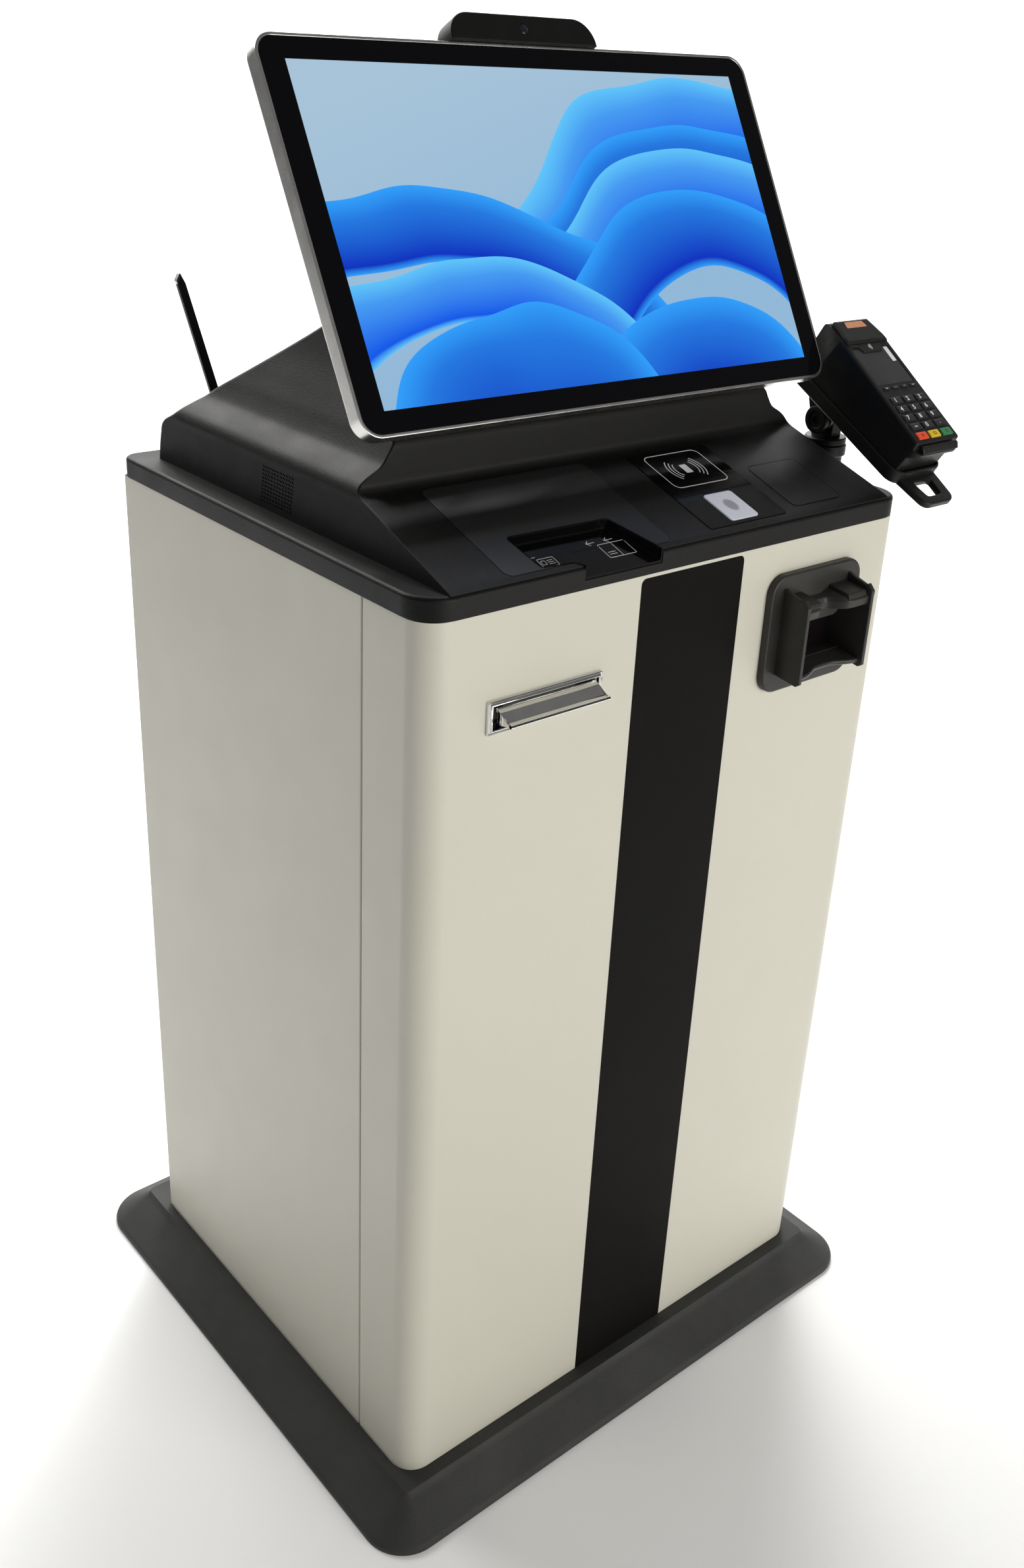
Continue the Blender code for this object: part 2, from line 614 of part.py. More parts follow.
def tray_outline(grow, reach):
    """The document tray, seen square to the deck, grown by a margin. Its notch runs out through the front
    edge, as far as reach."""
    right = -0.0455 + grow
    return rounded(
        [
            (-0.186 - grow, 0.0570 + grow, 0.004),
            (-0.068 + grow, 0.0550 + grow, 0.004),
            (right, 0.0000, 0),
            (right, -reach, 0),
            (-0.139 - grow, -reach, 0),
            (-0.139 - grow, 0.0000 - grow, 0.003),
            (-0.147 - grow, 0.0060 - grow, 0.003),
            (-0.182 - grow, 0.0085 - grow, 0.003),
        ],
        3,
    )


def deck_plate(name, area, margin, radius, low, high, mat):
    """A rectangular plate in the deck's frame: (left, right, bottom, top), grown by the margin."""
    left, right, bottom, top = area
    outline = rectangle(left - margin, right + margin, bottom - margin, top + margin, radius)
    return plate(name, outline, low, high, mat, DECK)


def deck_fittings(hood):
    """The panels let into the sloped deck, and the tray sunk through it."""
    inlay_area = (-0.220, -0.027, 0.0065, 0.1405)
    reader_area = (0.027, 0.1345, 0.0095, 0.1365)
    contactless_area = (0.027, 0.1345, 0.0625, 0.1365)
    finger_area = (0.027, 0.1345, 0.0095, 0.0621)
    cover_area = (0.152, 0.2245, 0.0160, 0.0890)
    platen_area = (0.0600, 0.0990, 0.0145, 0.0585)
    cut(
        hood,
        deck_plate("inlay_recess", inlay_area, GAP, 0.008, -PANEL_DEPTH, 0.01, None),
        deck_plate("reader_recess", reader_area, GAP, 0.003, -PANEL_DEPTH, 0.01, None),
        deck_plate("cover_recess", cover_area, GAP, 0.008, -PANEL_DEPTH, 0.01, None),
        plate("tray_cut", tray_outline(GAP, 0.020), -TRAY_DEPTH - TRAY_BASE - GAP, 0.02, None, DECK),
    )
    low = -PANEL_DEPTH + GAP
    inlay = deck_plate("document_inlay", inlay_area, 0, 0.008, low, GAP, INLAY_GREY)
    cut(inlay, plate("inlay_tray_cut", tray_outline(GAP, 0.020), -0.01, 0.01, None, DECK))
    tray = plate("document_tray", tray_outline(0, 0.020), -TRAY_DEPTH - TRAY_BASE, -0.0002, GLOSS_BLACK, DECK)
    cut(tray, plate("tray_pocket", tray_outline(-TRAY_WALL, 0.030), -TRAY_DEPTH, 0.02, None, DECK))
    front_low, front_high = (-0.30, FRONT - 0.05, BODY_TOP - 0.1), (0, FRONT - 0.0012, BODY_TOP + 0.1)
    cut(tray, block("tray_front", front_low, front_high, None))
    deck_plate("contactless_panel", contactless_area, 0, 0.002, low, GAP, GLOSS_BLACK)
    finger = deck_plate("fingerprint_panel", finger_area, 0, 0.002, low, GAP, GLOSS_BLACK)
    cut(finger, deck_plate("platen_hole", platen_area, 0, 0.004, -0.01, 0.01, None))
    cut(hood, deck_plate("platen_well", platen_area, 0, 0.004, -0.02, 0.01, None))
    deck_plate("finger_platen", platen_area, -GAP, 0.004, -0.006, 0.0012, PLATEN_WHITE)
    deck_plate("blank_cover", cover_area, -GAP, 0.008, low, 0, DECK_BLACK)


def slot_unit():
    """A chrome frame round a slot, and the flap that hangs from a hub along the slot's upper edge."""
    half_w, half_h = SLOT_WIDTH / 2, SLOT_HEIGHT / 2
    x, z = SLOT_CENTRE.x, SLOT_CENTRE.z
    face = FRONT - GAP
    outline = rectangle(x - half_w, x + half_w, z - half_h, z + half_h, 0.002)
    frame = front_plate("slot_frame", outline, face - 0.004, face, CHROME)
    inner_w, inner_h = half_w - SLOT_FRAME_X, half_h - SLOT_FRAME_Z
    wall = 0.0012
    low = (x - inner_w - wall, face - 0.001, z - inner_h - wall)
    high = (x + inner_w + wall, face + 0.008, z + inner_h + wall)
    join(frame, block("slot_collar", low, high, None))
    low, high = (x - inner_w, face - 0.02, z - inner_h), (x + inner_w, face + 0.02, z + inner_h)
    cut(frame, block("slot_mouth", low, high, None))
    reach, fall, steps = 0.0185, 0.0085, 8
    upper, lower = [], []
    for step in range(steps + 1):
        share = step / steps
        y, drop = -0.0002 - reach * share, 0.0008 - fall * math.sin(share * math.pi / 2) ** 1.5
        upper.append((y, drop))
        lower.append((y + 0.0002, drop - 0.0016))
    place = Matrix.Translation((x, face - 0.0033, z + inner_h - 0.003))
    half = inner_w - 0.0012
    flap = side_plate("slot_flap", upper + lower[::-1], -half, half, CHROME, place)
    bar_y = -0.0004 - reach
    bar = rod("flap_bar", (-half, bar_y, -fall), (half, bar_y, -fall), 0.0016, None, 10, place)
    join(flap, bar, rod("flap_hub", (-half, 0, 0), (half, 0, 0), 0.0018, None, 10, place))


def scanner_unit():
    """A code reader's bezel: a flange, two cheeks, a roof with a finger notch, a sill and a dark window."""
    x, z = BEZEL_CENTRE.x, BEZEL_CENTRE.z
    face = FRONT - GAP
    half_w, half_h = BEZEL_WIDTH / 2, BEZEL_HEIGHT / 2
    outline = rectangle(x - half_w, x + half_w, z - half_h, z + half_h, 0.020)
    bezel = front_plate("scanner_bezel", outline, face - BEZEL_DEPTH, face, BEZEL_GREY)
    left, right = x - SHROUD_WIDTH / 2, x + SHROUD_WIDTH / 2
    bottom, top = z - SHROUD_HEIGHT / 2, z + SHROUD_HEIGHT / 2
    out, back = face - SHROUD_DEPTH, face + 0.012
    cheek_profile = [
        (back, bottom + 0.004),
        (out + 0.006, bottom),
        (out, bottom + 0.004),
        (out, top - 0.010),
        (out + 0.004, top - 0.005),
        (face - 0.006, top + 0.004),
        (back, top - 0.004),
    ]
    roof_profile = [
        (back, top - 0.014),
        (out + 0.003, top - 0.024),
        (out + 0.001, top - 0.022),
        (out + 0.001, top - 0.014),
        (out + 0.006, top - 0.009),
        (face - 0.003, top - 0.007),
        (back, top - 0.010),
    ]
    sill_profile = [
        (back, bottom + 0.004),
        (out + 0.008, bottom + 0.0005),
        (out + 0.001, bottom + 0.005),
        (out + 0.004, bottom + 0.010),
        (back, bottom + 0.014),
    ]
    join(
        bezel,
        side_plate("cheek", cheek_profile, left, left + CHEEK, None),
        side_plate("cheek", cheek_profile, right - CHEEK, right, None),
        side_plate("roof", roof_profile, left + 0.001, right - 0.001, None),
        side_plate("sill", sill_profile, left + 0.001, right - 0.001, None),
    )
    mouth_low, mouth_high = bottom + 0.0135, top - 0.0135
    low, high = (left + CHEEK, face - 0.012, mouth_low), (right - CHEEK, back + 0.01, mouth_high)
    mouth = block("mouth", low, high, None)
    low, high = (x - 0.004, out + 0.001, top - 0.04), (x - 0.004, out + 0.001, top)
    scoop = rod("roof_scoop", low, high, 0.014, None, 20)
    low, high = (x + 0.006, out - 0.004, bottom - 0.01), (x + 0.006, out - 0.004, bottom + 0.03)
    cut(bezel, mouth, scoop, rod("sill_scoop", low, high, 0.020, None, 20))
    low = (left + CHEEK + GAP, face + 0.006, mouth_low + GAP)
    high = (right - CHEEK - GAP, face + 0.009, mouth_high - GAP)
    block("scanner_window", low, high, GLOSS_BLACK)


def tilt_bracket():
    """The yoke on top of the hood that holds the monitor's pivot pin."""
    y, z = TILT_AXIS.y, TILT_AXIS.z
    low, high = (-0.060, y - 0.023, HOOD_TOP + GAP), (0.060, y + 0.027, HOOD_TOP + 0.004)
    bracket = block("tilt_bracket", low, high, STEEL)
    foot, crown, radius = HOOD_TOP + 0.001, z + 0.011, 0.0105
    ear = [(y - 0.016, foot, 0), (y + 0.016, foot, 0), (y + 0.011, crown, radius), (y - 0.011, crown, radius)]
    for x in (-0.050, 0.042):
        join(bracket, side_plate("ear", rounded(ear), x, x + 0.008, None))
    join(bracket, rod("tilt_pin", (-0.072, y, z), (0.072, y, z), TILT_PIN_RADIUS, None))


def monitor():
    """A frame with its glass, panel, back cover with pivot lugs, and camera, all on the tilt axis."""
    turn = Matrix.Rotation(math.pi / 2 - MONITOR_TILT, 4, "X")
    axis = datum("monitor_tilt", Matrix.Translation(TILT_AXIS) @ turn)
    glass = Matrix.Translation((0, GLASS_UP, GLASS_OUT))
    w, h, deep = MONITOR_WIDTH / 2, MONITOR_HEIGHT / 2, MONITOR_DEPTH

    def centred(inset_x, inset_y, radius):
        return rectangle(inset_x - w, w - inset_x, inset_y - h, h - inset_y, radius)

    outline = centred(0, 0, MONITOR_CORNER)
    frame = plate("monitor_frame", outline, -deep, 0.0004, ALUMINIUM, glass, axis)
    pocket = centred(RIM, RIM, MONITOR_CORNER - RIM)
    cut(frame, plate("glass_pocket", pocket, -deep + 0.003, 0.01, None, glass, axis))
    edge = RIM + GAP
    outline = centred(edge, edge, MONITOR_CORNER - edge)
    plate("touch_glass", outline, -GLASS_THICKNESS, 0, GLASS, glass, axis)
    panel_w, panel_h = w - 0.0195, h - 0.0145
    low, high = (-panel_w, -panel_h, -0.0145), (panel_w, panel_h, -GLASS_THICKNESS - GAP)
    block("display_panel", low, high, DEVICE_GREY, glass, axis)
    outline = centred(0.0315, 0.0305, 0.012)
    back = plate("monitor_back", outline, -deep - 0.012, -deep - GAP, DECK_BLACK, glass, axis)
    lug = [(0.011, 0.030, 0), (-0.011, 0.030, 0), (-0.011, -0.011, 0.0105), (0.011, -0.011, 0.0105)]
    for x in (-0.067, 0.057):
        join(back, side_plate("lug", rounded(lug, 8), x, x + 0.010, None, None, axis))
    cut(back, rod("lug_bore", (-0.1, 0, 0), (0.1, 0, 0), TILT_PIN_RADIUS + GAP, None, 24, None, axis))
    low, high, corner = h + GAP, h + CAMERA_HEIGHT, CAMERA_HEIGHT - 0.0025
    case = rectangle(-CAMERA_SIDE, CAMERA_SIDE, low, high, (0, 0, corner, corner))
    camera = plate("camera_housing", case, -0.020, 0.004, DECK_BLACK, glass, axis)
    up = h + CAMERA_HEIGHT / 2
    seat = rod("lens_seat", (0, up, 0.001), (0, up, 0.02), LENS_RADIUS + GAP, None, 24, glass, axis)
    cut(camera, seat)
    rod("camera_lens", (0, up, 0.001 + GAP), (0, up, 0.0046), LENS_RADIUS, GLOSS_BLACK, 24, glass, axis)


def antenna():
    """A whip on a swivelling stub behind the hood, leaning to the left."""
    start, end = ANTENNA_FOOT + Vector((0, GAP, 0)), ANTENNA_FOOT + Vector((0, 0.0085, 0))
    base = rod("antenna_base", start, end, 0.0055, TERMINAL_BLACK, 16)
    hinge = ANTENNA_FOOT + Vector((0, 0.0145, 0))
    turn = Matrix.Translation(hinge) @ Matrix.Rotation(-ANTENNA_LEAN, 4, "Y")
    inner, outer = 0.0028, 0.0055
    fork_left = block("fork_left", (-outer, -0.007, -0.004), (-inner, 0.004, 0.004), None, turn)
    fork_right = block("fork_right", (inner, -0.007, -0.004), (outer, 0.004, 0.004), None, turn)
    join(base, fork_left, fork_right)
    neck, blade = 0.0025, 0.005
    left = ((-0.0046, 0.156), (-blade, 0.014), (-neck, 0.008))
    foot = ((-neck, -0.003), (neck, -0.003))
    right = ((neck, 0.008), (blade, 0.014), (0.0046, 0.150), (0.0022, 0.1625))
    front_plate("antenna_whip", foot + right + left, -0.0025, 0.0025, TERMINAL_BLACK, turn)


def terminal_stand():
    """The side bracket, the pole and the swivelling head under the terminal's cradle."""
    x, y = POLE_AXIS.x, POLE_AXIS.y

    def upright(name, low, high, radius, mat):
        return rod(name, (x, y, low), (x, y, high), radius, mat, 32)

    low = (SIDE + GAP, y - 0.034, POLE_BOTTOM - 0.010)
    high = (SIDE + 0.004, y + 0.034, BODY_TOP - 0.015)
    bracket = block("pole_bracket", low, high, TERMINAL_BLACK)
    for z in (POLE_BOTTOM + 0.010, BODY_TOP - 0.055):
        arm = block("clamp_arm", (SIDE + 0.003, y - 0.015, z), (x, y + 0.015, z + CLAMP_HEIGHT), None)
        join(bracket, arm, upright("clamp_ring", z, z + CLAMP_HEIGHT, POLE_RADIUS + 0.005, None))
    cut(bracket, upright("clamp_bore", POLE_BOTTOM - 0.09, POLE_TOP + 0.04, POLE_RADIUS + GAP, None))
    pole = upright("terminal_pole", POLE_BOTTOM, POLE_TOP, POLE_RADIUS, TERMINAL_BLACK)
    join(pole, upright("pole_collar", POLE_TOP - 0.012, POLE_TOP, POLE_RADIUS + 0.003, None))
    cut(pole, upright("pole_bore", POLE_BOTTOM - 0.01, POLE_TOP + 0.01, POLE_RADIUS - POLE_WALL, None))
    head = upright("swivel_head", POLE_TOP + GAP, POLE_TOP + 0.008, POLE_RADIUS + 0.002, TERMINAL_BLACK)
    foot, crown = POLE_TOP + 0.004, KNUCKLE_Z + 0.015
    tongue = [(y - 0.014, foot, 0), (y + 0.014, foot, 0), (y + 0.016, crown, 0.014), (y - 0.016, crown, 0.014)]
    pin_left, pin_right = (x - 0.0185, y, KNUCKLE_Z), (x + 0.0150, y, KNUCKLE_Z)
    join(
        head,
        upright("spigot", POLE_TOP - 0.028, POLE_TOP + 0.002, POLE_RADIUS - POLE_WALL - GAP, None),
        side_plate("tongue", rounded(tongue, 8), x - 0.008, x + 0.008, None),
        rod("knuckle_pin", pin_left, pin_right, KNUCKLE_PIN_RADIUS, None),
    )


def cradle_and_terminal():
    """The cradle with its finger loop and two ears, the knob that clamps them, and the terminal."""
    place = Matrix.Translation((POLE_AXIS.x, POLE_AXIS.y, KNUCKLE_Z))
    axis = datum("terminal_tilt", place @ Matrix.Rotation(TERMINAL_TILT, 4, "X"))
    slope = Matrix.Translation((0, -0.1249, 0.0562)) @ Matrix.Rotation(-CRADLE_TILT, 4, "X")
    half = TERMINAL_WIDTH / 2
    outline = rectangle(-half - 0.004, half + 0.004, 0.002, 0.180, (0.014, 0.014, 0.010, 0.010))
    cradle = plate("cradle", outline, -CRADLE_DEPTH, 0, TERMINAL_BLACK, slope, axis)
    loop = [(-0.031, 0.012, 0), (-0.025, -0.037, 0.012), (0.025, -0.037, 0.012), (0.031, 0.012, 0)]
    join(cradle, plate("loop", rounded(loop), -CRADLE_DEPTH + 0.0002, -CRADLE_DEPTH / 2, None, slope, axis))
    hollow = rectangle(-half - 0.0012, half + 0.0012, 0.005, 0.200, (0.007, 0.007, 0, 0))
    finger = rectangle(-0.0145, 0.0145, -0.0260, -0.0050, 0.004)
    cut(
        cradle,
        plate("cradle_hollow", hollow, CRADLE_FLOOR, 0.01, None, slope, axis),
        plate("loop_hole", finger, -0.03, 0.01, None, slope, axis),
    )
    upright = Matrix.Rotation(-TERMINAL_TILT, 4, "X")
    ear = rounded([(-0.011, -0.011, 0.0105), (0.011, -0.011, 0.0105), (0.026, 0.0440, 0), (-0.024, 0.0160, 0)])
    for left in (-0.0135, 0.0085):
        join(cradle, side_plate("cradle_ear", ear, left, left + 0.005, None, upright, axis))
    bore = KNUCKLE_PIN_RADIUS + GAP
    cut(cradle, rod("cradle_bore", (-0.05, 0, 0), (0.05, 0, 0), bore, None, 24, None, axis))
    inner, outer = -0.0145, -0.0215
    knob = rod("tilt_knob", (inner, 0, 0), (outer, 0, 0), KNOB_RADIUS, TERMINAL_BLACK, 28, None, axis)
    cut(
        knob,
        rod("knob_bore", (0, 0, 0), (inner - 0.0045, 0, 0), bore, None, 24, None, axis),
        rod("knob_recess", (outer + 0.0015, 0, 0), (outer - 0.01, 0, 0), KNOB_RECESS, None, 24, None, axis),
    )
    payment_terminal(axis)


def terminal_profile():
    """The terminal's side: its face, the card jaw at the foot and the back that lies in the cradle."""
    depth = CRADLE_FLOOR + GAP
    back = []
    for along in (0.180, 0.010):
        y = -0.050 + along * math.cos(CRADLE_TILT) + depth * math.sin(CRADLE_TILT)
        z = -0.037 - along * math.sin(CRADLE_TILT) + depth * math.cos(CRADLE_TILT)
        back.append((y, z, 0.004))
    face = [(-0.0385, 0, 0.0015), (0.104, 0, 0), (0.134, -0.005, 0.004)]
    jaw = [(-0.040, -0.020, 0.002), (-0.048, -0.0125, 0.001), (-0.048, -0.0085, 0.001), (-0.040, -0.0085, 0)]
    return rounded(face + back + jaw, 3)


def payment_terminal(axis):
    """The terminal's body, its screen and its keys. A key's travel is into the face."""
    face = Matrix.Translation((0, KEYS_UP, FACE_OUT))
    half = TERMINAL_WIDTH / 2
    body = side_plate("terminal_body", terminal_profile(), -half, half, TERMINAL_BLACK, face, axis)
    foot = [(-half, -0.0485, 0.008), (half, -0.0485, 0.008), (half, 0.104, 0)]
    head = [(half - 0.007, 0.140, 0.003), (0.007 - half, 0.140, 0.003), (-half, 0.104, 0)]
    plan = plate("terminal_plan", rounded(foot + head, 4), -0.12, 0.05, None, face, axis)
    combine(body, plan, "INTERSECT")
    cut(body, block("card_slot", (-0.0275, -0.060, -0.0083), (0.0275, -0.010, -0.0068), None, face, axis))
    left, right, bottom, top = half - 0.066, half - 0.006, 0.0400, 0.0900
    well = rectangle(left - GAP, right + GAP, bottom - GAP, top + GAP, 0.002)
    cut(body, plate("screen_well", well, -0.0016, 0.01, None, face, axis))
    screen = rectangle(left, right, bottom, top, 0.002)
    plate("terminal_screen", screen, -0.0013, -0.0002, GLOSS_BLACK, face, axis)
    digits = (("1", "2", "3"), ("4", "5", "6"), ("7", "8", "9"))
    rows = (*digits, ("function", "0", "dot"), ("cancel", "clear", "enter"))
    colours = {"cancel": KEY_RED, "clear": KEY_YELLOW, "enter": KEY_GREEN}
    for row, labels in enumerate(rows):
        for column, label in enumerate(labels):
            centre = ((column - 1) * KEY_PITCH_X, (1.5 - row) * KEY_PITCH_Y)
            mat = colours.get(label, KEY_BLACK)
            add_key("key_" + label, centre, KEY_WIDTH, KEY_HEIGHT, mat, body, face, axis)
    for column in range(4):
        centre = ((column - 1.5) * 0.0148, 0.0343)
        add_key("soft_key_" + str(column + 1), centre, 0.0095, 0.0036, KEY_BLACK, body, face, axis)


def add_key(name, centre, width, height, mat, body, face, axis):
    """A key and the well that it slides in."""
    x, y = centre
    w, h = width / 2, height / 2
    low, high = (x - w - GAP, y - h - GAP, KEY_WELL), (x + w + GAP, y + h + GAP, 0.01)
    cut(body, block(name + "_well", low, high, None, face, axis))
    block(name, (x - w, y - h, KEY_LOW), (x + w, y + h, KEY_TOP), mat, face, axis)


def computer():
    """A small computer on the lower shelf, with vents in its lid."""
    low = (SIDE - 0.290, FRONT + 0.113, LOWER_SHELF + SHELF_SHEET + GAP)
    high = (SIDE - 0.050, FRONT + 0.323, LOWER_SHELF + 0.075)
    case = block("computer", low, high, DEVICE_GREY)
    for column in range(6):
        y = low[1] + 0.030 + column * 0.026
        vent_low = (low[0] + 0.040, y, high[2] - 0.005)
        vent_high = (high[0] - 0.040, y + 0.008, high[2] + 0.005)
        cut(case, block("computer_vent", vent_low, vent_high, None))


def receipt_printer():
    """A printer behind the slot, with the arm and the spindle that hold its paper roll."""
    x, z = SLOT_CENTRE.x, SLOT_CENTRE.z
    half, paper = PRINTER_HALF, PAPER_HALF
    low = (x - half, FRONT + 0.013, PRINTER_SHELF + SHELF_SHEET + GAP)
    high = (x + half, FRONT + 0.133, z + 0.030)
    printer = block("receipt_printer", low, high, DECK_BLACK)
    chute_low, chute_high = (x - 0.042, FRONT + 0.007, z - 0.008), (x + 0.042, FRONT + 0.023, z + 0.008)
    arm_low = (x + half - 0.004, FRONT + 0.128, z - 0.058)
    arm_high = (x + half, FRONT + 0.233, z + 0.002)
    start, end = ROLL_AXIS - Vector((0.038, 0, 0)), ROLL_AXIS + Vector((0.046, 0, 0))
    join(
        printer,
        block("chute", chute_low, chute_high, None),
        block("roll_arm", arm_low, arm_high, None),
        rod("spindle", start, end, 0.005, None, 20),
    )
    throat_low, throat_high = (x - paper, FRONT - 0.007, z - 0.0025), (x + paper, FRONT + 0.163, z + 0.0025)
    cut(printer, block("throat", throat_low, throat_high, None))
    reach = Vector((paper, 0, 0))
    roll = rod("paper_roll", ROLL_AXIS - reach, ROLL_AXIS + reach, ROLL_RADIUS, PAPER, 40)
    cut(roll, rod("roll_core", ROLL_AXIS - 1.25 * reach, ROLL_AXIS + 1.25 * reach, 0.0065, None, 24))


def mains_inlet():
    """The mains socket in the right side sheet, and the rocker switch above it on its pivot."""
    half_y, half_z = 0.0130, 0.0230

    def at(x, y, z):
        return INLET + Vector((x, y, z))

    inlet = block("mains_inlet", at(-0.030, -half_y, -half_z), at(GAP + 0.001, half_y, half_z), GLOSS_BLACK)
    join(inlet, block("inlet_flange", at(GAP, -0.017, -0.027), at(GAP + 0.0025, 0.017, 0.027), None))
    cut(
        inlet,
        block("socket_well", at(-0.016, -0.011, -0.0205), at(0.02, 0.011, -0.0015), None),
        block("rocker_well", at(-0.014, -0.0095, 0.0045), at(0.02, 0.0095, 0.0205), None),
    )
    face = [(0.0040, -0.0068), (0.0058, -0.0068), (0.0046, 0), (0.0072, 0.0068), (0.0040, 0.0068)]
    back = [(-0.006, 0.003), (-0.006, -0.003)]
    pivot = Matrix.Translation(at(-0.003, 0, 0.0125))
    front_plate("mains_rocker", face + back, -0.0088, 0.0088, KEY_BLACK, pivot)


base_plinth()
cabinet_frame()
front_shell()
side_panels()
rear_door()
door_lock()
deck_hood()
slot_unit()
scanner_unit()
tilt_bracket()
monitor()
antenna()
terminal_stand()
cradle_and_terminal()
computer()
receipt_printer()
mains_inlet()
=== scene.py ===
import json
import math

import bmesh
import bpy
import numpy as np
from mathutils import Matrix, Vector


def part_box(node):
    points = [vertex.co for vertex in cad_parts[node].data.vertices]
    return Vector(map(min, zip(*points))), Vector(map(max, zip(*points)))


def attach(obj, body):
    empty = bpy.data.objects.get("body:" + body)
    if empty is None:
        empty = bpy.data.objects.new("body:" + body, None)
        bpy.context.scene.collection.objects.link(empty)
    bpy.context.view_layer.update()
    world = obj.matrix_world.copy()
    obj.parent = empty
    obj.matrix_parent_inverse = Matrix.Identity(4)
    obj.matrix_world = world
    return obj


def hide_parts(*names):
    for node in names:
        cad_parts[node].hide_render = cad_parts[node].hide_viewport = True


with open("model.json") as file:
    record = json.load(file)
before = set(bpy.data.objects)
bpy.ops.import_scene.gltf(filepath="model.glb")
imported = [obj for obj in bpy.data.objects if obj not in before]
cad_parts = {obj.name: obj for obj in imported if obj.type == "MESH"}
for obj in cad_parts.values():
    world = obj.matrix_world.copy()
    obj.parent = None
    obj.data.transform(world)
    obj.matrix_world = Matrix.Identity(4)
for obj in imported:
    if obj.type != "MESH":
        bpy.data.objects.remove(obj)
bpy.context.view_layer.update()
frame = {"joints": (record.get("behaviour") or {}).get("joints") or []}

joint_at = {joint["child"]: joint for joint in frame["joints"]}


# The stage: a pale floor, a broad light in front at the right, a faint one at the left, a strong one above
# and behind, one for the wall, and the camera above the front left corner. None of it belongs to the object.
scene = bpy.context.scene
scene.view_settings.view_transform = "Standard"

world = bpy.data.worlds.new("studio")
scene.world = world
world.use_nodes = True
sky_glow = world.node_tree.nodes["Background"]
sky_glow.inputs["Color"].default_value = (1.0, 1.0, 1.0, 1)
sky_glow.inputs["Strength"].default_value = 0.17

camera = bpy.data.objects.new("camera", bpy.data.cameras.new("camera"))
scene.collection.objects.link(camera)
scene.camera = camera
CAMERA_AZIMUTH = math.radians(-41.69)
CAMERA_ELEVATION = math.radians(24.67)
CAMERA_ROLL = math.radians(3.29)
camera.data.lens = 34.457
camera.data.shift_x = -0.0165
camera.data.shift_y = -0.0351
camera.matrix_world = (
    Matrix.Translation((-0.9851, -1.1638, 1.4474))
    @ Matrix.Rotation(CAMERA_AZIMUTH, 4, "Z")
    @ Matrix.Rotation(math.pi / 2 - CAMERA_ELEVATION, 4, "X")
    @ Matrix.Rotation(CAMERA_ROLL, 4, "Z")
)


def soft_light(name, place, target, width, height, power, colour):
    lamp = bpy.data.objects.new(name, bpy.data.lights.new(name, "AREA"))
    lamp.data.shape = "RECTANGLE"
    lamp.data.size = width
    lamp.data.size_y = height
    lamp.data.energy = power
    lamp.data.color = colour
    lamp.location = place
    lamp.rotation_euler = (Vector(target) - Vector(place)).to_track_quat("-Z", "Y").to_euler()
    scene.collection.objects.link(lamp)


soft_light("front_light", (0.9, -4.2, 1.4), (0, 0, 0.5), 2.8, 2.2, 116, (1.0, 0.98, 0.94))
soft_light("left_light", (-3.4, 0.6, 2.2), (0, 0, 0.7), 2.0, 1.6, 3.5, (0.97, 0.98, 1.0))
soft_light("top_light", (-0.38, 2.3, 2.8), (0, 0, 1.0), 2.0, 1.6, 62, (1.0, 0.99, 0.96))
soft_light("backdrop_light", (2.2, 2.2, 4.2), (1.2, 4.6, 0.6), 3.0, 1.5, 330, (1.0, 1.0, 1.0))

# The floor turns up into a wall behind the object: a straight run, a quarter circle and a straight run.
WALL_AT, BEND = 3.2, 2.0
bend_turn = np.linspace(0, math.pi / 2, 25)
bend = [(WALL_AT + BEND * math.sin(t), BEND * (1 - math.cos(t))) for t in bend_turn]
sweep = [(-8.0, 0.0), *bend, (WALL_AT + BEND, 7.0)]
TURNED = Matrix.Rotation(math.radians(-41.7), 4, "Z")
floor_points = [TURNED @ Vector((side, along, height)) for along, height in sweep for side in (-9, 9)]
floor_faces = [(2 * i, 2 * i + 1, 2 * i + 3, 2 * i + 2) for i in range(len(sweep) - 1)]
floor_mesh = bpy.data.meshes.new("floor")
floor_mesh.from_pydata(floor_points, [], floor_faces)
floor_mesh.shade_smooth()
floor = bpy.data.objects.new("floor", floor_mesh)
scene.collection.objects.link(floor)


def new_material(name):
    made = bpy.data.materials.new(name)
    made.use_nodes = True
    return made, made.node_tree, made.node_tree.nodes["Principled BSDF"]


def settle(node, settings):
    """Sets the node's inputs that settings names: a value is stored, and an output is linked."""
    for key, value in settings.items():
        if isinstance(value, bpy.types.NodeSocket):
            node.id_data.links.new(value, node.inputs[key])
        else:
            node.inputs[key].default_value = value


floor_paint, _, floor_shader = new_material("floor_paint")
settle(floor_shader, {"Base Color": (0.93, 0.93, 0.93, 1), "Roughness": 0.9})
settle(floor_shader, {"Emission Color": (1.0, 1.0, 1.0, 1), "Emission Strength": 0.07})
floor_mesh.materials.append(floor_paint)


# Plinth: one dark grey pressing with a textured coat, flat underneath. A low upright edge with round corners
# turns into a slope that rises to the square ridge round the cabinet's foot.
def added(tree, kind, settings, **choices):
    """A new node of a kind, with its choices made and its inputs settled."""
    node = tree.nodes.new("ShaderNode" + kind)
    for key, value in choices.items():
        setattr(node, key, value)
    settle(node, settings)
    return node


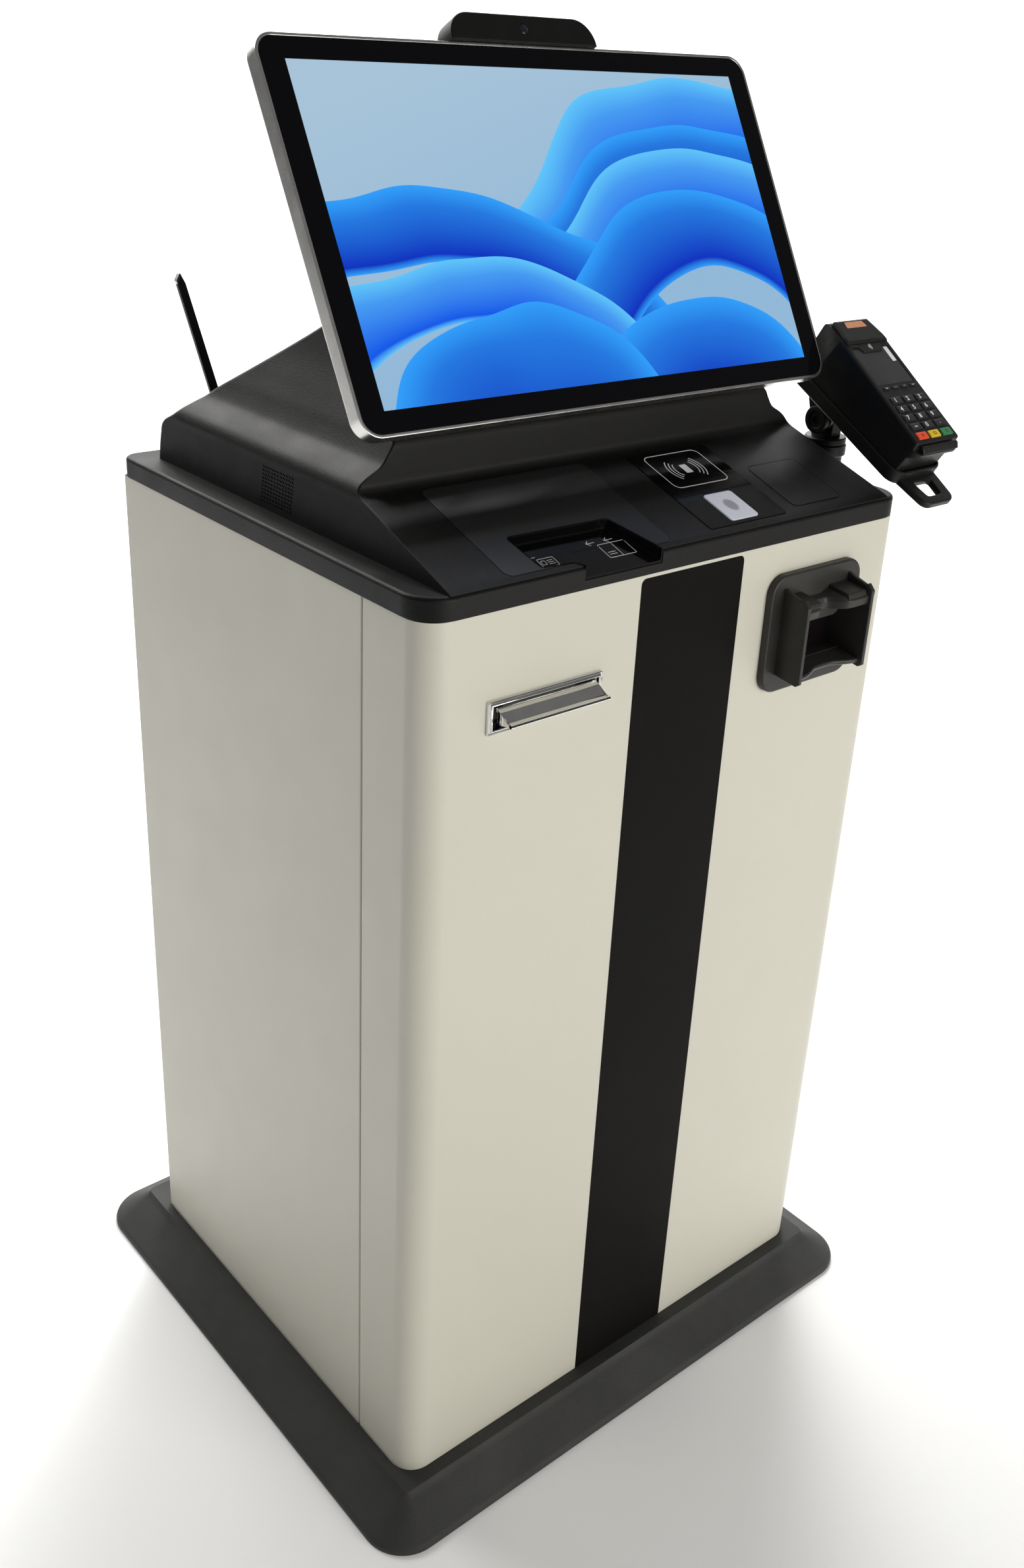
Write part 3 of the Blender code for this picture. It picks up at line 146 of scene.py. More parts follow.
def finish(
    name, colour, roughness, metallic=0.0, grain=None, mottle=(0.06, 0.05), smudge=(0.05, 0.04), sheen=0.5
):
    """A surface whose colour drifts by mottle (size in metres, share) and whose roughness drifts by smudge.
    Grain is the size and depth of its fine texture in metres, and sheen is how strongly it reflects."""
    made, tree, shader = new_material(name)
    where = added(tree, "TexCoord", {}).outputs["Object"]

    def drift(size, low, high, detail=3):
        noise = added(tree, "TexNoise", {"Scale": 1 / size, "Detail": detail, "Vector": where})
        limits = {"From Min": 0.3, "From Max": 0.7, "To Min": low, "To Max": high}
        return added(tree, "MapRange", {**limits, "Value": noise.outputs["Fac"]}).outputs["Result"]

    dark = (*[channel * (1 - mottle[1]) for channel in colour], 1)
    pale = (*[min(channel * (1 + mottle[1]), 1) for channel in colour], 1)
    tint = added(tree, "Mix", {}, data_type="RGBA")
    settle(tint, {"A": dark, "B": pale, "Factor": drift(mottle[0], 0, 1)})
    settle(shader, {"Metallic": metallic, "Specular IOR Level": sheen, "Base Color": tint.outputs["Result"]})
    settle(shader, {"Roughness": drift(smudge[0], roughness - smudge[1], roughness + smudge[1])})
    if grain:
        bump = added(tree, "Bump", {"Distance": grain[1], "Height": drift(grain[0], 0, 1, 2)})
        settle(shader, {"Normal": bump.outputs["Normal"]})
    return made


def outline(corners, inset=0.0, steps=8):
    """The closed line round anticlockwise (x, y, radius) corners, moved inwards by inset. A corner is an arc
    about c = q + r (n + m) / (1 + n.m), where n and m are the inward normals of its two sides and q is where
    the moved sides meet. Its radius shrinks by the inset, or grows where the line turns the other way."""
    corners = np.array(corners, float)
    place, radius = corners[:, :2], corners[:, 2]
    ahead = np.roll(place, -1, 0) - place
    ahead /= np.linalg.norm(ahead, axis=1)[:, None]
    after = np.stack([-ahead[:, 1], ahead[:, 0]], 1)
    before = np.roll(after, 1, 0)
    lean = (before + after) / (1 + (before * after).sum(1))[:, None]
    turn = np.arctan2(before[:, 0] * after[:, 1] - before[:, 1] * after[:, 0], (before * after).sum(1))
    hand = np.where(turn >= 0, 1.0, -1.0)
    radius = np.where(radius > 0, np.maximum(radius - hand * inset, 0), 0)
    centre = place + (inset + hand * radius)[:, None] * lean
    angle = np.arctan2(before[:, 1], before[:, 0])[:, None] + turn[:, None] * np.linspace(0, 1, steps + 1)
    reach = (hand * radius)[:, None]
    across, up = centre[:, :1] - reach * np.cos(angle), centre[:, 1:] - reach * np.sin(angle)
    return np.stack([across, up], -1).reshape(-1, 2)


def box_corners(left, right, bottom, top, radius):
    """The four corners of a rectangle, anticlockwise from the lower left, with one radius or one for each."""
    radii = radius if isinstance(radius, tuple) else (radius,) * 4
    return [(left, bottom, radii[0]), (right, bottom, radii[1]), (right, top, radii[2]), (left, top, radii[3])]


def lifted(line, height):
    """The points of an (x, y) line at one height."""
    return np.column_stack([line, np.full(len(line), height)])


def stacked(corners, levels, steps=8):
    """Rings of one outline, each moved inwards and up as its (inset, height) level says."""
    return np.array([lifted(outline(corners, inset, steps), height) for inset, height in levels])


def round_over(radius, top, inset=0.0, steps=5, flat=0.0004):
    """Levels up a rounded edge: a quarter circle from upright to flat, and then a little of the flat."""
    turn = np.linspace(0, math.pi / 2, steps + 1)
    levels = [(inset + radius * (1 - math.cos(t)), top - radius * (1 - math.sin(t))) for t in turn]
    return levels + [(inset + radius + flat, top)]


def round_under(radius, bottom, inset=0.0, steps=4, flat=0.0004):
    """The levels of a rounded lower edge, from its flat to upright."""
    levels = round_over(radius, bottom, inset, steps, flat)
    return [(moved_in, 2 * bottom - height) for moved_in, height in reversed(levels)]


def moved(points, place):
    """The points carried by a 4x4 matrix: R p + t."""
    matrix = np.array(place)
    return np.asarray(points) @ matrix[:3, :3].T + matrix[:3, 3]


def solid(name, rings, closed=False):
    """A closed mesh over rings[i, j], point j of ring i. Neighbouring rings are joined by four-sided faces,
    and the end rings are capped, or joined when closed. Points that meet merge, and the faces look out."""
    rings = np.asarray(rings, float)
    index = np.arange(rings.shape[0] * rings.shape[1]).reshape(rings.shape[:2])
    loops = np.vstack([index, index[:1]]) if closed else index
    low, high = loops[:-1], loops[1:]
    faces = np.stack([low, np.roll(low, -1, 1), np.roll(high, -1, 1), high], -1).reshape(-1, 4).tolist()
    if not closed:
        faces += [index[0][::-1].tolist(), index[-1].tolist()]
    mesh = bpy.data.meshes.new(name)
    mesh.from_pydata(rings.reshape(-1, 3), [], faces)
    return tidied(mesh)


def tidied(mesh):
    """Merges the points that meet and turns the faces of a closed mesh outwards, by the sign of its volume."""
    work = bmesh.new()
    work.from_mesh(mesh)
    bmesh.ops.remove_doubles(work, verts=work.verts, dist=2e-6)
    bmesh.ops.dissolve_degenerate(work, edges=work.edges, dist=1e-7)
    if work.calc_volume(signed=True) < 0:
        bmesh.ops.reverse_faces(work, faces=work.faces)
    work.to_mesh(mesh)
    work.free()
    return mesh


made_pieces = []


def fitted(name, mesh, coat, body, slot, *nodes, sharp=35):
    """The finished piece: shaded, coated, riding on its body, and standing for the named CAD nodes."""
    piece = bpy.data.objects.new(name, mesh)
    scene.collection.objects.link(piece)
    mesh.materials.clear()
    mesh.materials.append(coat)
    mesh.shade_smooth()
    mesh.set_sharp_from_angle(angle=math.radians(sharp))
    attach(piece, body)
    if nodes:
        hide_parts(*nodes)
    made_pieces.append(piece)
    return piece


def built(name, rings, *look, closed=False, sharp=35):
    """The finished piece over its rings. Its look is a coat, a body and a slot (not used), then the nodes it
    replaces.
    """
    return fitted(name, solid(name, rings, closed), *look, sharp=sharp)


def plate(name, corners, levels, place, *look, steps=8, closed=False, sharp=35):
    """The finished piece whose rings are one outline at several levels, carried to its place."""
    return built(name, moved(stacked(corners, levels, steps), place), *look, closed=closed, sharp=sharp)


plinth_low, plinth_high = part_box("base_plinth")
RIDGE_IN, RIDGE_SIDE_IN = 0.0425, 0.046
UPRIGHT_TOP = 0.0045
SLOPE_IN, SLOPE_FROM = 0.0042, 0.0107
SLOPE_TOP = plinth_high.z - 0.0022
FOOT_CORNER, RIDGE_CORNER = 0.048, 0.006
plinth_levels = [(0.0015, 0.0), (0.0004, 0.0004), (0.0, 0.0015), (0.0, UPRIGHT_TOP)]
plinth_levels += [
    (SLOPE_IN * t**2, UPRIGHT_TOP + 0.0066 * t - 0.0004 * t**2) for t in np.linspace(0, 1, 7)[1:]
]
for share in np.linspace(0, 1, 13)[1:-1]:
    level = SLOPE_IN + (RIDGE_IN - SLOPE_IN) * share, SLOPE_FROM + (SLOPE_TOP - SLOPE_FROM) * share
    plinth_levels.append(level)
plinth_levels += [(RIDGE_IN - 0.0012, plinth_high.z - 0.0012)]
plinth_levels += [(RIDGE_IN, plinth_high.z), (RIDGE_IN + 0.004, plinth_high.z)]
plinth_rings = []
for inset, height in plinth_levels:
    side = inset * RIDGE_SIDE_IN / RIDGE_IN
    left, right = plinth_low.x + side, plinth_high.x - side
    front, rear = plinth_low.y + inset, plinth_high.y - inset
    radius = FOOT_CORNER - (FOOT_CORNER - RIDGE_CORNER) * min(inset / RIDGE_IN, 1.0)
    plinth_rings.append(lifted(outline(box_corners(left, right, front, rear, radius), 0, 12), height))
plinth_coat = finish(
    "textured_coat", (0.038, 0.038, 0.037), 0.58, grain=(0.0011, 0.00022), mottle=(0.09, 0.18), sheen=0.28
)
built("plinth", plinth_rings, plinth_coat, "cabinet", "plinth_grey", "base_plinth")


# Cabinet skins: folded sheet steel in an off-white powder coat. The front wraps round both corners and meets
# the side sheets at a fine seam, where every edge is folded in. The slot, the reader and the mains inlet have
# openings, and the lugs of the rear door's hinge stand on the right sheet's rear edge.
paint = finish("powder_coat", (0.575, 0.56, 0.475), 0.42, grain=(0.0016, 0.00003), mottle=(0.35, 0.02))
SKIN = (paint, "cabinet", "body_paint")
front_low, front_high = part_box("front_shell")
side_low, side_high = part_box("side_panel_left")
FOLD = 0.008
FOLD_RADIUS = 0.0015
FRONT_CORNER = 0.028
REAR_CORNER = 0.005
SHEET = 0.0012


def folded_sheet(name, line, heights, holes=()):
    """A sheet over the grid (line[j], heights[i]), with its faces left out inside holes."""
    line, heights = np.asarray(line), np.asarray(heights)
    columns, rows = np.meshgrid(np.arange(len(line)), np.arange(len(heights)))
    points = np.stack([line[columns, 0], line[columns, 1], heights[rows]], -1)
    index = np.arange(points.shape[0] * points.shape[1]).reshape(points.shape[:2])
    quads = np.stack([index[:-1, :-1], index[:-1, 1:], index[1:, 1:], index[1:, :-1]], -1).reshape(-1, 4)
    middle = points.reshape(-1, 3)[quads].mean(1)
    kept = np.ones(len(quads), bool)
    for low, high in holes:
        kept &= ~((middle > np.array(low)) & (middle < np.array(high))).all(1)
    mesh = bpy.data.meshes.new(name)
    mesh.from_pydata(points.reshape(-1, 3), [], quads[kept].tolist())
    work = bmesh.new()
    work.from_mesh(mesh)
    bmesh.ops.remove_doubles(work, verts=work.verts, dist=2e-6)
    bmesh.ops.delete(work, geom=[vert for vert in work.verts if not vert.link_faces], context="VERTS")
    work.to_mesh(mesh)
    work.free()
    return mesh


def walled(piece, thickness):
    wall = piece.modifiers.new("wall", "SOLIDIFY")
    wall.thickness = thickness
    wall.offset = -1


slot_low, slot_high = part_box("slot_frame")
bezel_low, bezel_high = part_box("scanner_bezel")


def front_hole(low, high, side, end):
    """The block that a hole in the front takes out, a little inside the box of the piece that fills it."""
    return (low.x + side, -1, low.z + end), (high.x - side, front_low.y + 0.01, high.z - end)


SLOT_HOLE = front_hole(slot_low, slot_high, 0.006, 0.004)
READER_HOLE = front_hole(bezel_low, bezel_high, 0.016, 0.014)
front_line = outline(
    [
        (front_low.x + FOLD, front_high.y, 0),
        (front_low.x, front_high.y, FOLD_RADIUS),
        (front_low.x, front_low.y, FRONT_CORNER),
        (front_high.x, front_low.y, FRONT_CORNER),
        (front_high.x, front_high.y, FOLD_RADIUS),
        (front_high.x - FOLD, front_high.y, 0),
    ],
    steps=14,
)
half_way = len(front_line) // 2
stops = [(x, front_low.y) for x in (SLOT_HOLE[0][0], SLOT_HOLE[1][0], READER_HOLE[0][0], READER_HOLE[1][0])]
front_line = np.vstack([front_line[:half_way], stops, front_line[half_way:]])
front_heights = [front_low.z, READER_HOLE[0][2], SLOT_HOLE[0][2]]
front_heights += [SLOT_HOLE[1][2], READER_HOLE[1][2], front_high.z]
front_sheet = folded_sheet("front_sheet", front_line, front_heights, (SLOT_HOLE, READER_HOLE))
walled(fitted("front_sheet", front_sheet, *SKIN, "front_shell"), SHEET)

LIP_EDGE = 0.286
inlet_low, inlet_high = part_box("mains_inlet")
INLET_HOLE = (
    (side_high.x, inlet_low.y + 0.0035, inlet_low.z + 0.0035),
    (1.0, inlet_high.y - 0.0035, inlet_high.z - 0.0035),
)
for name, hand, hole in (("left_sheet", -1, None), ("right_sheet", 1, INLET_HOLE)):
    side_x = hand * front_high.x
    line = outline(
        [
            (hand * LIP_EDGE, side_high.y, 0),
            (side_x, side_high.y, REAR_CORNER),
            (side_x, side_low.y, FOLD_RADIUS),
            (side_x - hand * FOLD, side_low.y, 0),
        ][::-hand],
        steps=10,
    )
    if hole:
        side_stops = np.array([(side_x, hole[0][1]), (side_x, hole[1][1])])
        line = np.vstack([line[:22], side_stops, line[22:]])
    heights = [side_low.z, INLET_HOLE[0][2], INLET_HOLE[1][2], side_high.z]
    sheet = folded_sheet(name, line, heights, (hole,) if hole else ())
    node = "side_panel_left" if hand < 0 else "side_panel_right"
    walled(fitted(name, sheet, *SKIN, node), SHEET)


def disc(radius, levels, steps=40):
    """Rings of a turned shape: (inset, height) levels from a radius, about the Z axis."""
    turn = np.linspace(0, 2 * math.pi, steps, endpoint=False)
    circle = np.column_stack([np.cos(turn), np.sin(turn)])
    return np.array([lifted((radius - inset) * circle, height) for inset, height in levels])


hinge = Vector(joint_at["rear_door"]["pos_m"])
LUG_LENGTH = 0.015
LUG_WALL = 0.0027
lug_levels = [(0.0004, 0), (0, 0.0004), (0, LUG_LENGTH - 0.0004)]
lug_levels += [(0.0004, LUG_LENGTH), (LUG_WALL, LUG_LENGTH), (LUG_WALL, 0)]
LEAF_EDGE = front_high.x - hinge.x - 0.006
LEAF_FRONT, LEAF_REAR = side_high.y - hinge.y - 0.0008, side_high.y - hinge.y + 0.0025
leaf_shape = [
    (0.0018, LEAF_FRONT, 0),
    (LEAF_EDGE, LEAF_FRONT, 0),
    (LEAF_EDGE, LEAF_REAR, 0.0008),
    (0.0052, LEAF_REAR, 0),
    (0.0052, -0.0007, 0),
    (0.0018, -0.0007, 0),
]
leaf_levels = [(0, 0.0003), (0, LUG_LENGTH - 0.0003)]
for number, low in enumerate((0.150, 0.1956, 0.850, 0.8956), 1):
    on_lug = Matrix.Translation((hinge.x, hinge.y, low))
    built("hinge_knuckle_" + str(number), moved(disc(0.006, lug_levels, 32), on_lug), *SKIN, closed=True)
    plate("hinge_leaf_" + str(number), leaf_shape, leaf_levels, on_lug, *SKIN, steps=3)


# Front stripe: a satin black strip let into the front sheet, with round upper corners.
stripe_low, stripe_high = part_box("front_stripe")
ON_FRONT = Matrix.Translation((0, front_low.y, 0)) @ Matrix.Rotation(math.pi / 2, 4, "X")
stripe_black = finish(
    "satin_black", (0.0066, 0.0063, 0.0055), 0.38, grain=(0.0008, 0.00001), mottle=(0.2, 0.1), sheen=0.03
)
stripe_shape = box_corners(stripe_low.x, stripe_high.x, stripe_low.z, stripe_high.z, (0, 0, 0.006, 0.006))
stripe_levels = [(0, -0.0005)] + round_over(0.0003, 0.0003, steps=3)
plate("stripe", stripe_shape, stripe_levels, ON_FRONT, stripe_black, "cabinet", "stripe_black", "front_stripe")


# Console and hood: two black mouldings with a fine grain. A flange with round corners covers the cabinet's
# top. The hood rises from it with a sloped console in front, an upright face behind it, and sides that draw in
# along a hollow curve up to the monitor. Both side walls are pierced by rows of small slanting vents.
grained_black = finish(
    "grained_black", (0.0045, 0.0042, 0.0040), 0.46, grain=(0.0009, 0.00011), mottle=(0.05, 0.12), sheen=0.18
)
DECK = (grained_black, "cabinet", "deck_black")
hood_low, hood_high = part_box("deck_hood")
FLANGE_BASE = hood_low.z
FLANGE_TOP = FLANGE_BASE + 0.021
FLANGE_EDGE = 0.0038
flange_shape = box_corners(hood_low.x, hood_high.x, hood_low.y, hood_high.y, (0.034, 0.034, 0.018, 0.018))
flange_levels = round_under(0.001, FLANGE_BASE, steps=3) + round_over(FLANGE_EDGE, FLANGE_TOP, steps=7)

DECK_SLOPE = math.radians(18.5)
DECK_FRONT_Z = FLANGE_BASE + 0.0225
ON_DECK = Matrix.Translation((0, front_low.y, DECK_FRONT_Z)) @ Matrix.Rotation(DECK_SLOPE, 4, "X")
CREASE_Y = front_low.y + 0.143
CREASE_Z = DECK_FRONT_Z + (CREASE_Y - front_low.y) * math.tan(DECK_SLOPE)
CREASE_RADIUS = 0.010
FACE_LEAN = math.tan(math.radians(29.2))
LEAN_FROM = FLANGE_BASE + 0.107


def eased(at, knots, values):
    """A smooth curve through (knots, values): cubic pieces that take the mean slope at each knot."""
    knots, values = np.asarray(knots, float), np.asarray(values, float)
    rise = np.diff(values) / np.diff(knots)
    slope = np.r_[rise[0], (rise[:-1] + rise[1:]) / 2, rise[-1]]
    cell = np.clip(np.searchsorted(knots, at, side="right") - 1, 0, len(knots) - 2)
    width = knots[cell + 1] - knots[cell]
    t = np.clip((at - knots[cell]) / width, 0, 1)
    start = values[cell] * (1 + 2 * t) + slope[cell] * width * t
    end = values[cell + 1] * (3 - 2 * t) - slope[cell + 1] * width * (1 - t)
    return start * (1 - t) ** 2 + end * t**2


def hood_front(height):
    """How far back the hood's front is: the console's slope, a hollow arc, the upright face and the lean."""
    on_slope = front_low.y + 0.001 + np.maximum(height - DECK_FRONT_Z, 0) / math.tan(DECK_SLOPE)
    half = (math.pi / 2 - DECK_SLOPE) / 2
    arc_y, arc_z = CREASE_Y - CREASE_RADIUS, CREASE_Z + CREASE_RADIUS * math.tan(half)
    arc_low = arc_z - CREASE_RADIUS * math.cos(DECK_SLOPE)
    drop = np.clip((arc_z - height) / CREASE_RADIUS, 0, 1)
    on_arc = arc_y + CREASE_RADIUS * np.sqrt(1 - drop**2)
    leaning = CREASE_Y + np.maximum(height - LEAN_FROM, 0) * FACE_LEAN
    above = np.where(height < arc_z, on_arc, leaning)
    return np.where(height < arc_low, np.minimum(on_slope, CREASE_Y), above)


hood_heights = FLANGE_BASE + np.concatenate(
    [np.linspace(0.015, 0.064, 22), np.linspace(0.0645, 0.092, 30), np.linspace(0.094, 0.2035, 34)]
)
hood_side = eased(
    hood_heights - FLANGE_BASE,
    [0.015, 0.062, 0.070, 0.077, 0.0825, 0.090, 0.100, 0.110, 0.125, 0.151, 0.180, 0.207],
    [0.2850, 0.2800, 0.2790, 0.2745, 0.2670, 0.2535, 0.2455, 0.2395, 0.2300, 0.2150, 0.2030, 0.1960],
)
hood_rear = eased(
    hood_heights - FLANGE_BASE,
    [0.015, 0.045, 0.060, 0.070, 0.077, 0.0825, 0.090, 0.100, 0.110, 0.125, 0.151, 0.180, 0.207],
    [0.237, 0.237, 0.2325, 0.2140, 0.2050, 0.1995, 0.1935, 0.1820, 0.1660, 0.1420, 0.1000, 0.0520, 0.0120],
)
TOP_EDGE = 0.0035
HOOD_CORNERS = (0.0022, 0.0022, 0.010, 0.010)
hood_rings = []
for height, side, front, rear in zip(hood_heights, hood_side, hood_front(hood_heights), hood_rear):
    corners = box_corners(-side, side, front, rear, HOOD_CORNERS)
    hood_rings.append(lifted(outline(corners, 0, 6), height))
top_side, top_front, top_rear = hood_side[-1], hood_front(hood_heights)[-1], hood_rear[-1]
for inset, height in round_over(TOP_EDGE, hood_high.z, steps=5):
    corners = box_corners(-top_side, top_side, top_front + 0.002, top_rear, HOOD_CORNERS)
    hood_rings.append(lifted(outline(corners, inset, 6), height))


def carve(piece, *cutters):
    """Cuts the cutters out of the piece for good, and throws them away."""
    for cutter in cutters:
        cut = piece.modifiers.new("cut", "BOOLEAN")
        cut.object = cutter
        cut.solver = "EXACT"
    bpy.context.view_layer.update()
    graph = bpy.context.evaluated_depsgraph_get()
    mesh = bpy.data.meshes.new_from_object(piece.evaluated_get(graph))
    piece.modifiers.clear()
    piece.data = mesh
    for cutter in cutters:
        bpy.data.objects.remove(cutter)
    mesh.shade_smooth()
    mesh.set_sharp_from_angle(angle=math.radians(30))


def cutter(mesh):
    tool = bpy.data.objects.new("cutter", mesh)
    scene.collection.objects.link(tool)
    return tool


TRAY_SHAPE = [
    (-0.139, 0.0000, 0.003),
    (-0.139, -0.0200, 0.0),
    (-0.0455, -0.0200, 0.0),
    (-0.0455, 0.0000, 0.012),
    (-0.068, 0.0550, 0.005),
    (-0.186, 0.0570, 0.005),
    (-0.182, 0.0085, 0.004),
    (-0.147, 0.0060, 0.003),
]
TRAY_FLOOR = -0.010
PANEL_SINK = -0.001
INLAY_SHAPE = box_corners(-0.220, -0.027, 0.0065, 0.1405, 0.008)
READER_SHAPE = box_corners(0.027, 0.1345, 0.0095, 0.1365, 0.003)
COVER_SHAPE = box_corners(0.152, 0.2245, 0.0160, 0.0890, 0.008)


def deck_cutter(corners, grow, low, high=0.02):
    return cutter(solid("cutter", moved(stacked(corners, [(-grow, low), (-grow, high)]), ON_DECK)))


def vent_cutter(hand):
    """Slanting slots in rows: each is a box sheared so that its top leans back, repeated over a grid."""
    across, up = np.meshgrid(np.arange(11), np.arange(10))
    corner = np.array([(x, y, z) for z in (0, 1) for y in (0, 1) for x in (0, 1)], float)
    shape = np.empty((8, 3))
    shape[:, 0] = hand * (0.272 + 0.020 * corner[:, 0])
    shape[:, 1] = -0.0225 + 0.0036 * corner[:, 1] + 0.0008 * corner[:, 2]
    shape[:, 2] = FLANGE_BASE + 0.0265 + 0.0016 * corner[:, 2] + 0.0011 * corner[:, 1]
    shift = np.stack([0 * across, 0.0050 * across, 0.0035 * up], -1).reshape(-1, 1, 3)
    points = (shape + shift).reshape(-1, 3)
    face = np.array([(0, 2, 3, 1), (4, 5, 7, 6), (0, 1, 5, 4), (2, 6, 7, 3), (0, 4, 6, 2), (1, 3, 7, 5)])
    faces = (face + 8 * np.arange(across.size)[:, None, None]).reshape(-1, 4)
    mesh = bpy.data.meshes.new("vents")
    mesh.from_pydata(points, [], faces.tolist())
    return cutter(tidied(mesh))


flange = plate("console_flange", flange_shape, flange_levels, Matrix(), *DECK, steps=12)
TRAY_CUT = TRAY_FLOOR - 0.0025
carve(flange, deck_cutter(TRAY_SHAPE, 0.0004, TRAY_CUT))
carve(
    built("hood", hood_rings, *DECK, "deck_hood"),
    deck_cutter(INLAY_SHAPE, 0.0004, PANEL_SINK),
    deck_cutter(READER_SHAPE, 0.0004, PANEL_SINK),
    deck_cutter(COVER_SHAPE, 0.0006, PANEL_SINK),
    deck_cutter(TRAY_SHAPE, 0.0004, TRAY_CUT),
    vent_cutter(-1),
    vent_cutter(1),
)


# Document inlay: a smooth dark grey sheet let into the console round the tray.
inlay_grey = finish(
    "smooth_grey", (0.0155, 0.0155, 0.0155), 0.32, grain=(0.0007, 0.00001), mottle=(0.08, 0.08), sheen=0.18
)
PANEL_BASE = PANEL_SINK + 0.0001
inlay_levels = [(0, PANEL_BASE)] + round_over(0.0003, 0.0001, steps=3)
inlay_look = (inlay_grey, "cabinet", "inlay_grey", "document_inlay")
inlay = plate("document_inlay_sheet", INLAY_SHAPE, inlay_levels, ON_DECK, *inlay_look)
carve(inlay, deck_cutter(TRAY_SHAPE, 0.0004, TRAY_FLOOR))


# Document tray: a polished black pocket, sunk through the console and open at the front. A low step crosses
# its floor, and two line drawings on the floor show where a card and a booklet go.
gloss_black = finish(
    "polished_black", (0.0035, 0.0035, 0.0035), 0.10, mottle=(0.06, 0.1), smudge=(0.03, 0.05), sheen=0.09
)
GLOSS = (gloss_black, "cabinet", "gloss_black")
WALL = 0.0016
tray_levels = [(0, TRAY_FLOOR - 0.002), (0, -0.0008), (0.0002, -0.0002), (0.0006, 0.0)]
tray_levels += [(WALL - 0.0003, -0.0002), (WALL, -0.0008)]
tray_levels += [(WALL, TRAY_FLOOR + 0.002), (WALL + 0.0006, TRAY_FLOOR + 0.0006)]
tray_levels += [(WALL + 0.002, TRAY_FLOOR), (WALL + 0.0024, TRAY_FLOOR)]
tray = plate("card_tray", TRAY_SHAPE, tray_levels, ON_DECK, *GLOSS, "document_tray", steps=5)
front_block = box_corners(-0.3, 0.0, 0, 0.2, 0)
on_mouth = Matrix.Translation((0, front_low.y, 0.9)) @ Matrix.Rotation(math.pi / 2, 4, "X")
tray_front = moved(stacked(front_block, [(0, 0.001), (0, 0.06)]), on_mouth)
carve(tray, cutter(solid("cutter", tray_front)))
step_shape = box_corners(-0.126, -0.064, 0.0305, 0.0312, 0.0003)
step_levels = [(0, TRAY_FLOOR - 0.0002), (0, TRAY_FLOOR + 0.0002)]
plate("tray_step", step_shape, step_levels, ON_DECK, *GLOSS, steps=3)

print_white = finish("white_print", (0.80, 0.81, 0.82), 0.5)
WHITE = (print_white, "cabinet", "platen_white")
PRINT_THICK = 0.00008


def stroke(points, width):
    """The closed outline of a line drawn with a pen: its points moved half the width to either side."""
    points = np.asarray(points, float)
    ahead = np.gradient(points, axis=0)
    ahead /= np.linalg.norm(ahead, axis=1)[:, None]
    aside = np.stack([-ahead[:, 1], ahead[:, 0]], 1) * width / 2
    return np.vstack([points - aside, (points + aside)[::-1]])


def loop_rings(corners, width, low, high, steps=4):
    """Rings of a thin printed line round an outline, to be joined end to end."""
    half = width / 2
    return stacked(corners, [(-half, low), (-half, high), (half, high), (half, low)], steps)


def printed(name, strokes, loops, place, floor, *look, width=0.00055):
    """One piece of fine raised print: open strokes and closed loops on a plane, a little above its floor."""
    work = bmesh.new()
    top = floor + PRINT_THICK
    for line in strokes:
        shape = stroke(line, width)
        work.from_mesh(solid(name, moved([lifted(shape, height) for height in (floor, top)], place)))
    for corners in loops:
        work.from_mesh(solid(name, moved(loop_rings(corners, width, floor, top), place), closed=True))
    mesh = bpy.data.meshes.new(name)
    work.to_mesh(mesh)
    work.free()
    fitted(name, mesh, *look)


def straight(*points):
    """Points close together along straight runs, so that a pen stroke keeps its width at the bends."""
    points = np.array(points, float)
    share = np.linspace(0, 1, 4)[:, None]
    return np.vstack([start + (end - start) * share for start, end in zip(points[:-1], points[1:])])


def arrow(x, y, length=0.010):
    """A small arrow that points along -X: a shaft and two barbs."""
    barb = length * 0.4
    return [
        straight((x, y), (x + length, y)),
        straight((x + barb, y + barb * 0.8), (x, y)),
        straight((x, y), (x + barb, y - barb * 0.8)),
    ]


CARD = box_corners(-0.167, -0.149, 0.0190, 0.0310, 0.0012)
CHIP = box_corners(-0.1650, -0.1605, 0.0225, 0.0280, 0.0008)
BOOKLET = box_corners(-0.094, -0.062, 0.0130, 0.0330, 0.0012)
tray_strokes = arrow(-0.176, 0.0345) + arrow(-0.104, 0.0375) + arrow(-0.082, 0.0375)
tray_strokes += [straight((-0.158, y), (-0.1515, y)) for y in (0.0225, 0.0250, 0.0275)]
tray_strokes += [straight((-0.078, 0.0130), (-0.078, 0.0330))]
tray_strokes += [straight((-0.091, y), (-0.082, y)) for y in (0.0175, 0.0205)]
printed("tray_drawings", tray_strokes, [CARD, BOOKLET, CHIP], ON_DECK, TRAY_FLOOR, *WHITE)


# Contactless reader and fingerprint reader: two polished black windows in one recess. The rear one has a white
# frame round a card with waves on both sides. The front one holds the lit sensor.
PANEL_TOP = 0.0003
panel_levels = [(0, PANEL_BASE)] + round_over(0.0003, PANEL_TOP, steps=3)
contactless_shape = box_corners(0.027, 0.1345, 0.0625, 0.1365, (0.0006, 0.0006, 0.003, 0.003))
plate("contactless_window", contactless_shape, panel_levels, ON_DECK, *GLOSS, "contactless_panel")


def arc(x, y, radius, half_turn, steps, hand=1):
    """A round stroke about (x, y), half_turn degrees to each side of X, or of -X when hand is -1."""
    turn = np.radians(np.linspace(-half_turn, half_turn, steps))
    return np.column_stack([x + hand * radius * np.cos(turn), y + radius * np.sin(turn)])


